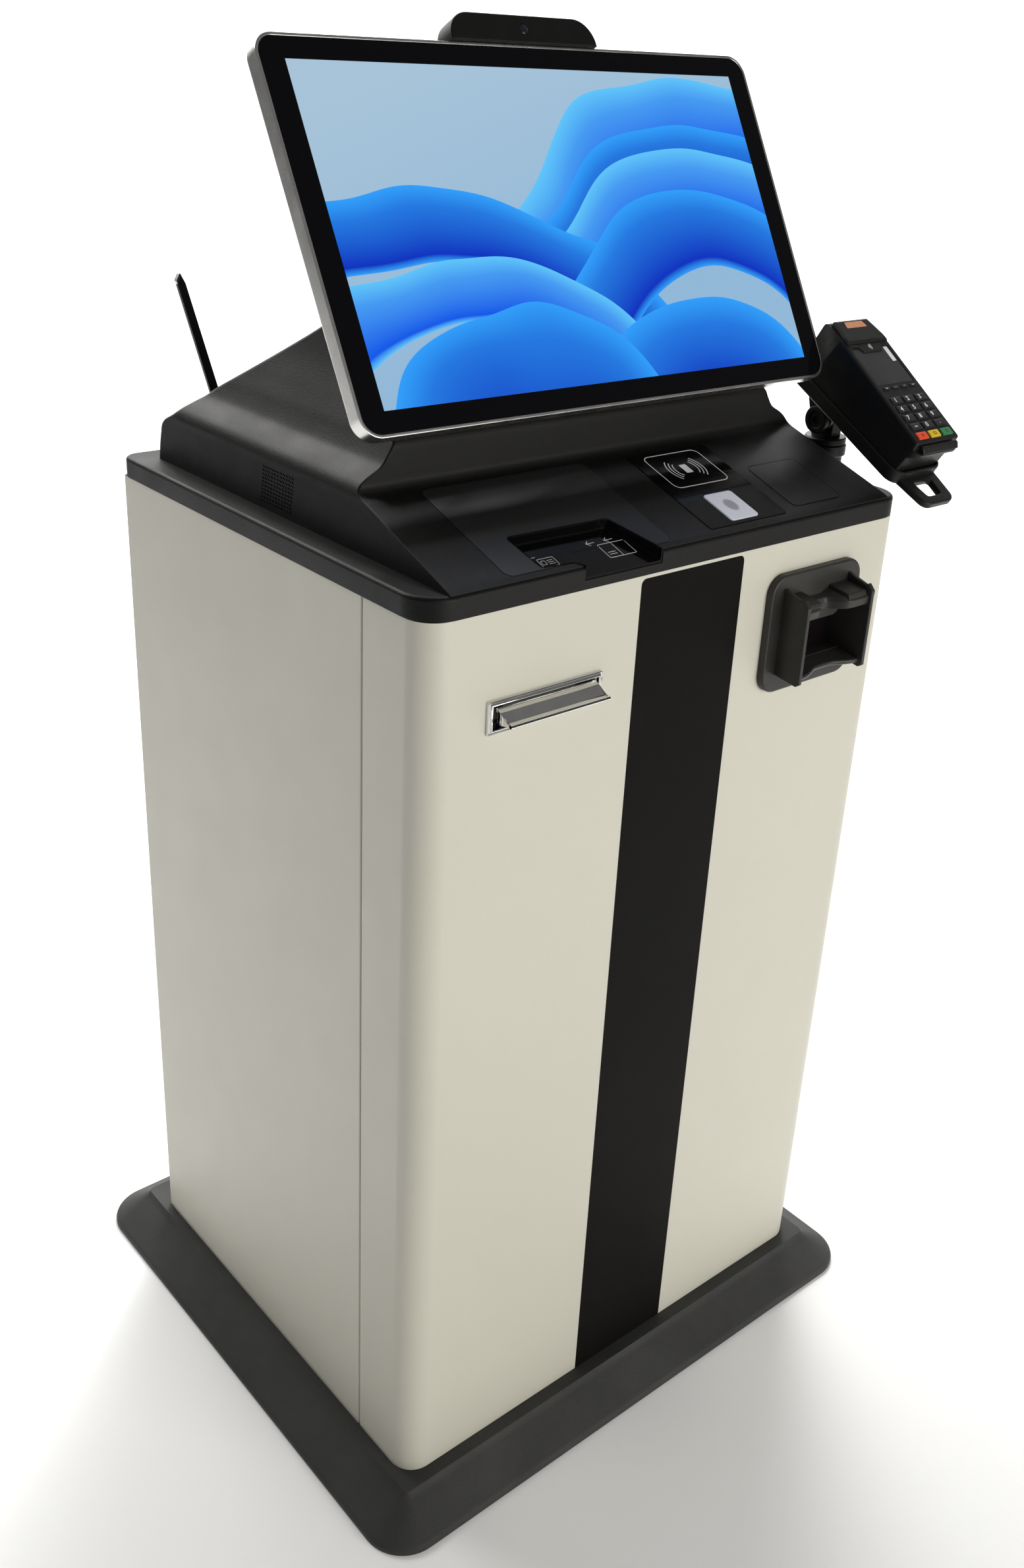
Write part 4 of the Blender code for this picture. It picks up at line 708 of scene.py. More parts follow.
WAVE_X, WAVE_Y = 0.0800, 0.1035
waves = [arc(WAVE_X, WAVE_Y, radius, 42, 15, hand) for radius in (0.0145, 0.0185, 0.0225) for hand in (-1, 1)]
frame_shape = box_corners(0.0430, 0.1170, 0.0760, 0.1310, 0.0075)
printed("contactless_drawing", waves, [frame_shape], ON_DECK, PANEL_TOP, *WHITE, width=0.0010)
card_shape = box_corners(WAVE_X - 0.0045, WAVE_X + 0.0045, WAVE_Y - 0.007, WAVE_Y + 0.007, 0.001)
card_levels = [(0, PANEL_TOP), (0, PANEL_TOP + PRINT_THICK)]
plate("contactless_card", card_shape, card_levels, ON_DECK, *WHITE)

PLATEN = (0.0600, 0.0990, 0.0145, 0.0585)
finger_shape = box_corners(0.027, 0.1345, 0.0095, 0.0620, (0.003, 0.003, 0.0006, 0.0006))
finger_levels = [(0, PANEL_BASE), (0, 0.0), (0.0003, PANEL_TOP)]
platen_shape = box_corners(*PLATEN, 0.004)
platen_hole = stacked(platen_shape, [(-0.0003, PANEL_TOP), (0.0, 0.0), (0.0, PANEL_BASE)])
finger_rings = moved(np.concatenate([stacked(finger_shape, finger_levels), platen_hole]), ON_DECK)
built("finger_window", finger_rings, *GLOSS, "fingerprint_panel", closed=True)


def lit_sensor(name):
    """Milky glass lit from below. Fine ridges, rings bent by noise, show inside an oval at its middle."""
    made, tree, shader = new_material(name)
    where = added(tree, "TexCoord", {}).outputs["Object"]
    centre = ON_DECK @ Vector(((PLATEN[0] + PLATEN[1]) / 2, (PLATEN[2] + PLATEN[3]) / 2, 0))
    shift = added(tree, "VectorMath", {0: where, 1: centre}, operation="SUBTRACT").outputs["Vector"]
    rings = added(tree, "TexWave", {"Vector": shift}, wave_type="RINGS", rings_direction="Z")
    settle(rings, {"Scale": 320, "Distortion": 4, "Detail": 1.5, "Detail Scale": 0.5})
    squeeze = added(tree, "VectorMath", {0: shift, 1: (1.25, 1.0, 0.6)}, operation="MULTIPLY")
    reach = added(tree, "VectorMath", {0: squeeze.outputs["Vector"]}, operation="LENGTH")
    oval = added(tree, "MapRange", {"From Min": 0.0105, "From Max": 0.0070, "To Max": 1.35})
    settle(oval, {"Value": reach.outputs["Value"]})
    share = added(tree, "Math", {0: rings.outputs["Fac"], 1: oval.outputs["Result"]}, operation="MULTIPLY")
    tone = added(tree, "Mix", {}, data_type="RGBA")
    settle(tone, {"A": (0.56, 0.57, 0.64, 1), "B": (0.05, 0.05, 0.07, 1), "Factor": share.outputs["Value"]})
    settle(shader, {"Base Color": tone.outputs["Result"], "Emission Color": tone.outputs["Result"]})
    settle(shader, {"Roughness": 0.2, "Emission Strength": 0.22})
    return made


sensor_levels = [(0.0003, -0.005)] + round_over(0.0006, 0.0012, 0.0003)
sensor_look = (lit_sensor("lit_sensor"), "cabinet", "platen_white", "finger_platen")
plate("finger_sensor", platen_shape, sensor_levels, ON_DECK, *sensor_look)


# Blank cover: closes the place of a reader that isn't fitted, in the console's own grained black.
cover_levels = [(0.0003, PANEL_BASE)] + round_over(0.0004, 0.0, 0.0003, steps=3)
plate("blank_plate", COVER_SHAPE, cover_levels, ON_DECK, *DECK, "blank_cover")


# Receipt slot: a bright plated frame in steps with thin beads, and a hollow flap with a rolled lower edge that
# hangs from a hub along the mouth's upper side.
chrome = finish("bright_plate", (0.72, 0.71, 0.69), 0.07, 1.0, mottle=(0.02, 0.04), smudge=(0.012, 0.05))
slot_centre = (slot_low + slot_high) / 2
half_w, half_h = (slot_high.x - slot_low.x) / 2, (slot_high.z - slot_low.z) / 2
ON_SLOT = ON_FRONT @ Matrix.Translation((slot_centre.x, slot_centre.z, 0))
slot_shape = box_corners(-half_w, half_w, -half_h, half_h, 0.002)
slot_levels = [(0.0, 0.0), (0.0, 0.0024), (0.0003, 0.0030), (0.0008, 0.0032)]
slot_levels += [(0.0016, 0.0026), (0.0022, 0.0024), (0.0028, 0.0030), (0.0034, 0.0040), (0.0041, 0.0043)]
slot_levels += [(0.0047, 0.0040), (0.0050, 0.0032), (0.0053, 0.0010), (0.0055, -0.0080), (0.0045, -0.0080)]
slot_levels += [(0.0042, -0.0005), (0.0030, 0.0)]
slot_rings = moved(stacked(slot_shape, slot_levels, 5), ON_SLOT)
slot_look = (chrome, "cabinet", "chrome", "slot_frame")
built("receipt_frame", slot_rings, *slot_look, closed=True, sharp=50)


def spanned(x, line):
    """The points of a (y, z) line at one place across the object."""
    return np.column_stack([np.full(len(line), x), line])


FLAP = (chrome, "slot_flap", "chrome")
FLAP_FALL = 0.0185
CURL = 0.0019
flap_axis = Vector(joint_at["slot_flap"]["pos_m"])
flap_half = half_w - 0.0087
fall = np.linspace(0, 1, 13)
face_line = np.column_stack([-FLAP_FALL * fall, -0.0085 * np.sin(fall * math.pi / 2) ** 1.6])
curl = np.radians(np.linspace(110, -190, 17))
roll_line = np.column_stack([-FLAP_FALL + CURL * np.cos(curl), -0.0090 + CURL * np.sin(curl)])
back_line = np.column_stack([face_line[::-1, 0] * 0.93 + 0.0004, face_line[::-1, 1] - 0.0013])
hub_turn = np.radians(np.linspace(-100, 60, 7))
hub_line = np.column_stack([0.0012 + 0.0017 * np.cos(hub_turn), 0.0017 * np.sin(hub_turn)])
flap_profile = np.vstack([face_line[1:], roll_line[1:], back_line[2:-1], hub_line])
flap_across = np.array([-1, -0.998, -0.99, 0, 0.99, 0.998, 1]) * flap_half
middle = flap_profile.mean(0)
flap_rings = [
    spanned(x, middle + (flap_profile - middle) * shrink)
    for x, shrink in zip(flap_across, (0.92, 0.97, 1, 1, 1, 0.97, 0.92))
]
flap_place = Matrix.Translation((slot_centre.x, flap_axis.y - 0.0012, flap_axis.z))
built("receipt_flap", moved(flap_rings, flap_place), *FLAP, "slot_flap", sharp=50)
cheek_corners = [
    (0.0, -0.0005, 0.0008),
    (-0.0175, -0.0085, 0.0008),
    (-0.0165, -0.0105, 0.0008),
    (0.0, -0.0130, 0.002),
]
flap_cheek = outline(cheek_corners, 0, 4)
for name, x in (("flap_cheek_left", -flap_half + 0.0002), ("flap_cheek_right", flap_half - 0.0012)):
    built(name, moved([spanned(x + step, flap_cheek) for step in (0, 0.0010)], flap_place), *FLAP)


# Code reader: a dark grey moulded bezel. A flange with large round corners carries two cheeks, a roof with a
# hollow for the hand, a sill, and a baffle. A polished window closes the back.
moulded_grey = finish(
    "moulded_grey", (0.028, 0.027, 0.0245), 0.40, grain=(0.0008, 0.00004), mottle=(0.03, 0.1), sheen=0.30
)
BEZEL = (moulded_grey, "cabinet", "bezel_grey")
bezel_centre = (bezel_low + bezel_high) / 2
ON_BEZEL = ON_FRONT @ Matrix.Translation((bezel_centre.x, bezel_centre.z, 0))
BEZEL_W, BEZEL_H = (bezel_high.x - bezel_low.x) / 2, (bezel_high.z - bezel_low.z) / 2
MOUTH_W, MOUTH_H = 0.0475, 0.0325
HOOD_OUT = front_low.y - bezel_low.y
SHROUD_W, SHROUD_H = 0.0515, 0.046
flange_outer = box_corners(-BEZEL_W, BEZEL_W, -BEZEL_H, BEZEL_H, 0.020)
mouth_inner = box_corners(-MOUTH_W, MOUTH_W, -MOUTH_H, MOUTH_H, 0.002)
outer_levels = [(0.0, 0.0003)] + round_over(0.0022, 0.0083, steps=6)
mouth_levels = [(-0.0006, 0.0083), (0.0, 0.0078), (0.0, -0.010), (-0.004, -0.010), (-0.004, 0.0003)]
bezel_rings = np.concatenate([stacked(flange_outer, outer_levels), stacked(mouth_inner, mouth_levels)])
built("reader_flange", moved(bezel_rings, ON_BEZEL), *BEZEL, "scanner_bezel", closed=True)

ACROSS = Matrix(((0, 0, 1, 0), (0, 1, 0, 0), (-1, 0, 0, 0), (0, 0, 0, 1)))


def across_plate(name, corners, left, right, edge):
    """A piece of the bezel seen from its side: (out, up) corners, from left to right, with rounded edges."""
    turned = [(-out, up, radius) for out, up, radius in corners]
    levels = round_under(edge, left, steps=3) + round_over(edge, right, steps=3)
    plate(name, turned, levels, ON_BEZEL @ ACROSS, *BEZEL, steps=5)


cheek = [
    (-0.011, -SHROUD_H + 0.006, 0.001),
    (-0.011, SHROUD_H - 0.002, 0.001),
    (0.004, SHROUD_H + 0.0045, 0.002),
    (HOOD_OUT - 0.0065, SHROUD_H - 0.0045, 0.002),
    (HOOD_OUT - 0.0003, SHROUD_H - 0.0105, 0.0015),
    (HOOD_OUT - 0.0003, -SHROUD_H + 0.003, 0.0015),
    (HOOD_OUT - 0.005, -SHROUD_H, 0.002),
]
for name, left in (("reader_cheek_left", -SHROUD_W), ("reader_cheek_right", SHROUD_W - 0.0045)):
    across_plate(name, cheek, left, left + 0.0045, 0.0009)
cheek_cap = [
    (HOOD_OUT - 0.012, SHROUD_H - 0.0060, 0.0008),
    (HOOD_OUT - 0.0065, SHROUD_H - 0.0015, 0.0012),
    (HOOD_OUT - 0.0002, SHROUD_H - 0.0080, 0.0012),
    (HOOD_OUT - 0.0002, SHROUD_H - 0.0135, 0.0008),
]
for name, left in (("cheek_cap_left", -SHROUD_W - 0.0003), ("cheek_cap_right", SHROUD_W - 0.0048)):
    across_plate(name, cheek_cap, left, left + 0.0051, 0.0008)

ROOF_Z = SHROUD_H - 0.0105
HOLLOW_DEPTH = 0.021


def hand_hollow(across):
    """How far the roof's front edge is drawn back at a place across it: a bell with a flat top."""
    return HOLLOW_DEPTH / (1 + (np.abs(across + 0.0035) / 0.0155) ** 6)


roof_ends = np.linspace(-SHROUD_W + 0.003, -0.030, 4), np.linspace(0.024, SHROUD_W - 0.003, 4)
roof_corners = [
    (0.010, -0.0035, 0.001),
    (0.010, 0.0, 0.001),
    (-0.003, 0.0035, 0.003),
    (-0.034, 0.0, 0.0045),
    (-0.038, -0.0045, 0.002),
    (-0.037, -0.0125, 0.001),
]
roof_back, roof_up = outline(roof_corners, 0, 5).T
roof_rings = []
for x in np.concatenate([roof_ends[0], np.linspace(-0.027, 0.021, 33), roof_ends[1]]):
    drawn = hand_hollow(x)
    back = np.where(roof_back < -0.006, roof_back * (1 - drawn / 0.038), roof_back)
    lower = roof_up - 0.0035 * drawn / HOLLOW_DEPTH
    roof_rings.append(spanned(x, np.column_stack([lower + ROOF_Z, -back])))
built("reader_roof", moved(roof_rings, ON_BEZEL), *BEZEL)

pad_side = [
    (0.006, ROOF_Z + 0.0005, 0.001),
    (0.0065, ROOF_Z + 0.0062, 0.0015),
    (0.034, ROOF_Z + 0.0028, 0.003),
    (0.0365, ROOF_Z - 0.003, 0.001),
]
across_plate("roof_pad_left", pad_side, -SHROUD_W + 0.0055, -0.0240, 0.0012)
across_plate("roof_pad_right", pad_side, 0.0180, SHROUD_W - 0.0055, 0.0012)

sill_corners = [
    (0.008, -SHROUD_H + 0.0060, 0.001),
    (0.036, -SHROUD_H + 0.0035, 0.003),
    (0.040, -SHROUD_H + 0.0090, 0.0025),
    (0.008, -SHROUD_H + 0.0130, 0.001),
]
sill_out, sill_up = outline(sill_corners, 0, 5).T
sill_rings = []
for x in np.linspace(-SHROUD_W + 0.003, SHROUD_W - 0.003, 25):
    drawn = 0.012 / (1 + ((x - 0.004) / 0.026) ** 4)
    out = np.where(sill_out > 0.012, sill_out - drawn, sill_out)
    sill_rings.append(spanned(x, np.column_stack([sill_up, out])))
built("reader_sill", moved(sill_rings, ON_BEZEL), *BEZEL)
baffle_shape = box_corners(-0.036, 0.034, ROOF_Z - 0.027, ROOF_Z - 0.003, (0.010, 0.010, 0.001, 0.001))
baffle_levels = round_under(0.0006, 0.0105) + round_over(0.0006, 0.0130)
plate("reader_baffle", baffle_shape, baffle_levels, ON_BEZEL, *BEZEL)
window_low, window_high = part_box("scanner_window")
window_shape = box_corners(window_low.x, window_high.x, window_low.z, window_high.z, 0.001)
window_levels = [(0, front_low.y - window_high.y)] + round_over(0.0004, front_low.y - window_low.y)
window_glass = finish("scanner_glass", (0.006, 0.004, 0.005), 0.05, mottle=(0.03, 0.1), smudge=(0.02, 0.02))
window_look = (window_glass, "cabinet", "gloss_black", "scanner_window")
plate("reader_window", window_shape, window_levels, ON_FRONT, *window_look)


# Monitor: a drawn aluminium frame with round corners, bonded black glass, and a painted back. It tilts on a
# pin. Behind the glass the picture is made of flowing bands, an invented pattern.
tilt_place = Vector(joint_at["monitor"]["pos_m"])
GLASS_LEAN = math.radians(29.2)
ON_GLASS = (
    Matrix.Translation(tilt_place)
    @ Matrix.Rotation(math.pi / 2 - GLASS_LEAN, 4, "X")
    @ Matrix.Translation((0, 0.012, 0.058))
)
SCREEN_W, SCREEN_H = 0.587 / 2, 0.345 / 2
SCREEN_CORNER = 0.020
FRAME_DEPTH = 0.018
RIM = 0.003
brushed = finish("satin_aluminium", (0.60, 0.59, 0.57), 0.27, 1.0, mottle=(0.01, 0.02), smudge=(0.03, 0.05))
frame_corners = box_corners(-SCREEN_W, SCREEN_W, -SCREEN_H, SCREEN_H, SCREEN_CORNER)
frame_levels = round_under(0.004, -FRAME_DEPTH, steps=6) + [(0.0, -0.0006), (0.0002, 0.0001), (0.0007, 0.0004)]
frame_levels += [(RIM - 0.0006, 0.0004), (RIM - 0.0001, 0.0001), (RIM, -0.0006), (RIM, -FRAME_DEPTH + 0.003)]
frame_levels += [(0.010, -FRAME_DEPTH + 0.003), (0.010, -FRAME_DEPTH)]
frame_look = (brushed, "monitor", "aluminium", "monitor_frame")
plate("screen_frame", frame_corners, frame_levels, ON_GLASS, *frame_look, steps=16, closed=True)

ACTIVE_H = 0.150


def lit_picture(name):
    """Black glass with a lit picture inside it: nested bands that follow bent rings, from pale to deep blue.
    The picture's own edge comes from the larger of |x| / w and |y| / h in the glass's own UV plane."""
    made, tree, shader = new_material(name)
    plane = added(tree, "UVMap", {}, uv_map="plane").outputs["UV"]

    def maths(operation, first, second):
        return added(tree, "Math", {0: first, 1: second}, operation=operation).outputs["Value"]

    def ramp(value, *stops):
        node = added(tree, "ValToRGB", {"Fac": value})
        while len(node.color_ramp.elements) < len(stops):
            node.color_ramp.elements.new(0.5)
        for element, (place, colour) in zip(node.color_ramp.elements, stops):
            element.position = place
            element.color = (*colour, 1)
        return node.outputs["Color"]

    def blend(share, first, second):
        node = added(tree, "Mix", {}, data_type="RGBA")
        settle(node, {"Factor": share, "A": first, "B": second})
        return node.outputs["Result"]

    def axis(value, index):
        return added(tree, "SeparateXYZ", {"Vector": value}).outputs[index]

    across, up = axis(plane, 0), axis(plane, 1)
    bend = added(tree, "TexNoise", {"Scale": 1.3, "Detail": 1.0, "Vector": plane})
    shifted = maths("MULTIPLY", maths("SUBTRACT", bend.outputs["Fac"], 0.5), 1.1)

    def across_band(centre_x, centre_y, radius, thick, wobble):
        """How far across one turned band a place is, 0 at its inner edge and 1 at its outer edge."""
        x = maths("ADD", across, -centre_x)
        y = maths("ADD", up, -centre_y)
        reach = maths("SQRT", maths("ADD", maths("MULTIPLY", x, x), maths("MULTIPLY", y, y)), 0)
        bent = maths("ADD", reach, maths("MULTIPLY", shifted, wobble))
        return maths("DIVIDE", maths("SUBTRACT", bent, radius), thick)

    def inside(value):
        return maths("MULTIPLY", maths("GREATER_THAN", value, 0.0), maths("LESS_THAN", value, 1.0))

    height = maths("ADD", maths("MULTIPLY", up, 0.55), maths("MULTIPLY", across, -0.18))
    sky_tones = ((0.0, (0.30, 0.50, 0.72)), (0.45, (0.40, 0.57, 0.72)), (1.0, (0.48, 0.60, 0.70)))
    picture = ramp(height, *sky_tones)
    night = ((0.002, 0.03, 0.55), (0.03, 0.36, 1.0))
    day = ((0.004, 0.10, 0.85), (0.12, 0.58, 1.0))
    bands = (
        (1.62, -0.30, 1.02, 0.28, 0.30, day),
        (1.50, -0.28, 0.90, 0.20, 0.22, night),
        (1.46, -0.20, 0.70, 0.24, 0.18, day),
        (0.30, -0.62, 1.02, 0.24, 0.28, night),
        (1.40, -0.16, 0.50, 0.25, 0.16, night),
        (0.42, -0.66, 0.84, 0.22, 0.40, day),
        (1.30, -0.30, 0.26, 0.30, 0.20, night),
        (0.62, -0.74, 0.60, 0.34, 0.50, night),
        (0.78, -0.90, 0.46, 0.36, 0.42, day),
    )
    for *shape, (deep, light) in bands:
        share = across_band(*shape)
        between = tuple((a + b) / 2 for a, b in zip(deep, light))
        shade = ramp(share, (0.0, light), (0.10, deep), (0.72, between), (1.0, light))
        picture = blend(inside(share), picture, shade)
    centred = added(tree, "VectorMath", {}, operation="MULTIPLY_ADD")
    settle(centred, {0: plane, 1: (2, 2, 0), 2: (-16 / 9, -1, 0)})
    reach = added(tree, "VectorMath", {0: centred.outputs["Vector"]}, operation="ABSOLUTE").outputs["Vector"]
    within_width = maths("LESS_THAN", axis(reach, 0), 16 / 9)
    lit = maths("MULTIPLY", within_width, maths("LESS_THAN", axis(reach, 1), 1.0))
    smear = added(tree, "TexNoise", {"Scale": 5, "Vector": plane})
    rough = added(tree, "MapRange", {"To Min": 0.03, "To Max": 0.11, "Value": smear.outputs["Fac"]})
    settle(shader, {"Base Color": (0.004, 0.004, 0.005, 1), "Specular IOR Level": 0.06})
    settle(shader, {"Roughness": rough.outputs["Result"], "Emission Strength": 0.95})
    settle(shader, {"Emission Color": blend(lit, (0.0, 0.0, 0.0, 1), picture)})
    return made


glass_inset = RIM + 0.0003
glass_levels = [(glass_inset, -0.004), (glass_inset, -0.0004)]
glass_levels += [(glass_inset + 0.0002, -0.0001), (glass_inset + 0.0005, 0.0)]
glass_mesh = solid("screen_glass", stacked(frame_corners, glass_levels, 16))
plane_layer = glass_mesh.uv_layers.new(name="plane")
loop_vertex = np.empty(len(glass_mesh.loops), np.int32)
glass_mesh.loops.foreach_get("vertex_index", loop_vertex)
flat = np.empty(len(glass_mesh.vertices) * 3, np.float32)
glass_mesh.vertices.foreach_get("co", flat)
plane_uv = (flat.reshape(-1, 3)[loop_vertex, :2] / (2 * ACTIVE_H)) + (8 / 9, 0.5)
plane_layer.data.foreach_set("uv", plane_uv.astype(np.float32).ravel())
glass_mesh.transform(ON_GLASS)
fitted("screen_glass", glass_mesh, lit_picture("lit_picture"), "monitor", "touch_glass", "touch_glass")

back_corners = box_corners(-0.262, 0.262, -0.142, 0.142, 0.012)
back_levels = [(0.0035, -0.0300), (0.0027, -0.0300), (0.0008, -0.0289), (0.0, -0.0270)]
back_levels += [(0.0, -FRAME_DEPTH - 0.0003)]
BACK = (grained_black, "monitor", "deck_black")
plate("screen_back", back_corners, back_levels, ON_GLASS, *BACK, "monitor_back")


def bored_lug(name, corners, low, length, bore, place, *look):
    """A plate from low up along its own Z axis, with a round hole about that axis."""
    levels = [(0.0005, low), (0, low + 0.0005), (0, low + length - 0.0005), (0.0005, low + length)]
    outer = stacked(corners, levels, 8)
    turn = np.arctan2(outer[1, :, 1], outer[1, :, 0])
    circle = bore * np.column_stack([np.cos(turn), np.sin(turn)])
    inner = [lifted(circle, height) for height in (low + length, low)]
    built(name, moved(np.concatenate([outer, inner]), place), *look, closed=True)


lug_shape = [(0.011, 0.031, 0.001), (-0.011, 0.031, 0.001), (-0.011, -0.011, 0.0105), (0.011, -0.011, 0.0105)]
ALONG_PIN = Matrix(((0, 0, 1, 0), (1, 0, 0, 0), (0, 1, 0, 0), (0, 0, 0, 1)))
ON_TILT_PIN = Matrix.Translation(tilt_place) @ Matrix.Rotation(math.pi / 2 - GLASS_LEAN, 4, "X") @ ALONG_PIN
for name, left in (("tilt_lug_left", -0.067), ("tilt_lug_right", 0.057)):
    bored_lug(name, lug_shape, left, 0.010, 0.0053, ON_TILT_PIN, *BACK)

camera_corners = box_corners(-0.0875, 0.0875, SCREEN_H + 0.0003, SCREEN_H + 0.0265, (0, 0, 0.024, 0.024))
LENS_UP = SCREEN_H + 0.01325
camera_levels = round_under(0.0015, -0.020, steps=4) + round_over(0.0012, 0.004, steps=4)
camera_case = plate(
    "camera_case", camera_corners, camera_levels, ON_GLASS, *BACK, "camera_housing", steps=14
)

ON_LENS = ON_GLASS @ Matrix.Translation((0, LENS_UP, 0))
LENS_RADIUS = 0.0049
carve(camera_case, cutter(solid("cutter", moved(disc(0.0052, [(0, 0.001), (0, 0.02)]), ON_LENS))))
dome_turn = np.linspace(0, 1.50, 7)
dome = [(LENS_RADIUS * (1 - math.cos(t)), 0.0034 + 0.0012 * math.sin(t)) for t in dome_turn]
lens_glass = finish("lens_glass", (0.010, 0.009, 0.016), 0.04, mottle=(0.01, 0.1), smudge=(0.02, 0.01))
lens_rings = moved(disc(LENS_RADIUS, [(0.0, 0.0013)] + dome), ON_LENS)
built("lens_dome", lens_rings, lens_glass, "monitor", "gloss_black", "camera_lens")


# Antenna: a moulded black whip, flat, wider above its hinge and cut to a slanting tip. It folds on its base.
ANTENNA_LEAN = math.radians(16.6)
whip_place = Vector(joint_at["antenna_whip"]["pos_m"])
ON_WHIP = (
    Matrix.Translation(whip_place)
    @ Matrix.Rotation(-ANTENNA_LEAN, 4, "Y")
    @ Matrix.Rotation(math.pi / 2, 4, "X")
)
whip_corners = [
    (-0.0025, -0.0030, 0.001),
    (0.0025, -0.0030, 0.001),
    (0.0025, 0.0080, 0.001),
    (0.0050, 0.0140, 0.003),
    (0.0046, 0.1500, 0.006),
    (0.0018, 0.1625, 0.0012),
    (-0.0046, 0.1555, 0.0018),
    (-0.0050, 0.0140, 0.003),
    (-0.0025, 0.0080, 0.001),
]
whip_levels = round_under(0.0009, -0.0025, steps=3) + round_over(0.0009, 0.0025, steps=3)
whip_black = finish("rubber_black", (0.009, 0.009, 0.009), 0.5, mottle=(0.05, 0.1))
WHIP = ("antenna_whip", "terminal_black")
plate("whip", whip_corners, whip_levels, ON_WHIP, whip_black, *WHIP, "antenna_whip", steps=4)
tip_corners = [
    (-0.00465, 0.1520, 0.0002),
    (-0.0035, 0.1522, 0.0002),
    (0.0022, 0.1605, 0.0006),
    (0.0018, 0.1627, 0.0010),
    (-0.0047, 0.1556, 0.0012),
]
plate("whip_tip", tip_corners, [(0, -0.00255), (0, 0.00255)], ON_WHIP, brushed, *WHIP, steps=3)


# Terminal stand: a tube in two clamp rings on a side bracket, a collar, and a head that swivels on it.
terminal_black = finish(
    "terminal_black", (0.0125, 0.0123, 0.0118), 0.36, grain=(0.0006, 0.00004), mottle=(0.03, 0.1), sheen=0.22
)
pole_low, pole_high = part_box("terminal_pole")
pole_axis = Vector(joint_at["swivel_head"]["pos_m"])
TUBE = 0.021
ON_POLE = Matrix.Translation((pole_axis.x, pole_axis.y, 0))
tube_levels = [(0.0015, pole_low.z), (0.0, pole_low.z + 0.0015), (0.0, pole_high.z - 0.0140)]
tube_levels += [(-0.0003, pole_high.z - 0.0122), (-0.0022, pole_high.z - 0.0120)]
tube_levels += [(-0.0030, pole_high.z - 0.0110), (-0.0030, pole_high.z - 0.0008)]
tube_levels += [(-0.0022, pole_high.z), (0.0020, pole_high.z), (0.0020, pole_low.z)]
tube_look = (terminal_black, "cabinet", "terminal_black", "terminal_pole")
built("tube", moved(disc(TUBE, tube_levels, 64), ON_POLE), *tube_look, closed=True)

HEAD = (terminal_black, "swivel_head", "terminal_black")
head_low = pole_high.z + 0.0003
head_levels = [(0.0023, head_low - 0.028), (0.0023, head_low), (-0.0014, head_low)]
head_levels += [(-0.0020, head_low + 0.0006), (-0.0020, head_low + 0.0062), (-0.0008, head_low + 0.0077)]
head_levels += [(0.006, head_low + 0.0080)]
built("head", moved(disc(TUBE, head_levels, 64), ON_POLE), *HEAD, "swivel_head")
ON_KNUCKLE = Matrix.Translation(Vector(joint_at["terminal"]["pos_m"]))
ON_KNOB = ON_KNUCKLE @ ALONG_PIN
tongue_shape = [(-0.014, -0.0230, 0), (0.014, -0.0230, 0), (0.016, 0.0150, 0.014), (-0.016, 0.0150, 0.014)]
tongue_levels = round_under(0.0008, -0.008, steps=3) + round_over(0.0008, 0.008, steps=3)
plate("tongue", tongue_shape, tongue_levels, ON_KNOB, *HEAD)
pin_levels = [(0.0006, -0.0185), (0, -0.0180), (0, 0.0145), (0.0006, 0.0150)]
built("pin", moved(disc(0.004, pin_levels, 32), ON_KNOB), *HEAD)


# Cradle and knob: the moulded cradle wraps the terminal's back and foot and ends in a tapered loop for a
# finger. Its two ears straddle the knuckle, and a round hollow knob at the left clamps them.
ON_AXIS = ON_KNUCKLE @ Matrix.Rotation(math.radians(36.5), 4, "X")
CRADLE_LEAN = math.radians(7.3)
ON_CRADLE = ON_AXIS @ Matrix.Translation((0, -0.1249, 0.0562)) @ Matrix.Rotation(-CRADLE_LEAN, 4, "X")
cradle_outer = box_corners(-0.040, 0.040, 0.002, 0.180, (0.016, 0.016, 0.010, 0.010))
cradle_levels = round_under(0.0035, -0.016, steps=6) + [(0.0, -0.0018), (0.0004, -0.0006), (0.0014, 0.0)]
cradle_inner = box_corners(-0.0372, 0.0372, 0.0055, 0.1772, (0.012, 0.012, 0.008, 0.008))
inner_levels = [(-0.0006, 0.0), (0.0, -0.0006), (0.0, -0.0118), (0.001, -0.012)]
cradle_inside = stacked(cradle_inner, inner_levels, 10)
cradle_rings = np.concatenate([stacked(cradle_outer, cradle_levels, 10), cradle_inside])
HELD = (terminal_black, "terminal", "terminal_black")
cradle_piece = built("cradle_shell", moved(cradle_rings, ON_CRADLE), *HELD, "cradle")
open_end = stacked(box_corners(-0.0371, 0.0371, 0.150, 0.200, 0.0), [(0, -0.0119), (0, 0.01)], 1)
carve(cradle_piece, cutter(solid("cutter", moved(open_end, ON_CRADLE))))


def tapered(half_low, half_high, low, high, radius_low, radius_high):
    """A finger loop's outline, anticlockwise: its upper end is wider than its lower end."""
    upper, lower = (half_high, high, radius_high), (half_low, low, radius_low)
    return [(-upper[0], *upper[1:]), (-lower[0], *lower[1:]), lower, upper]


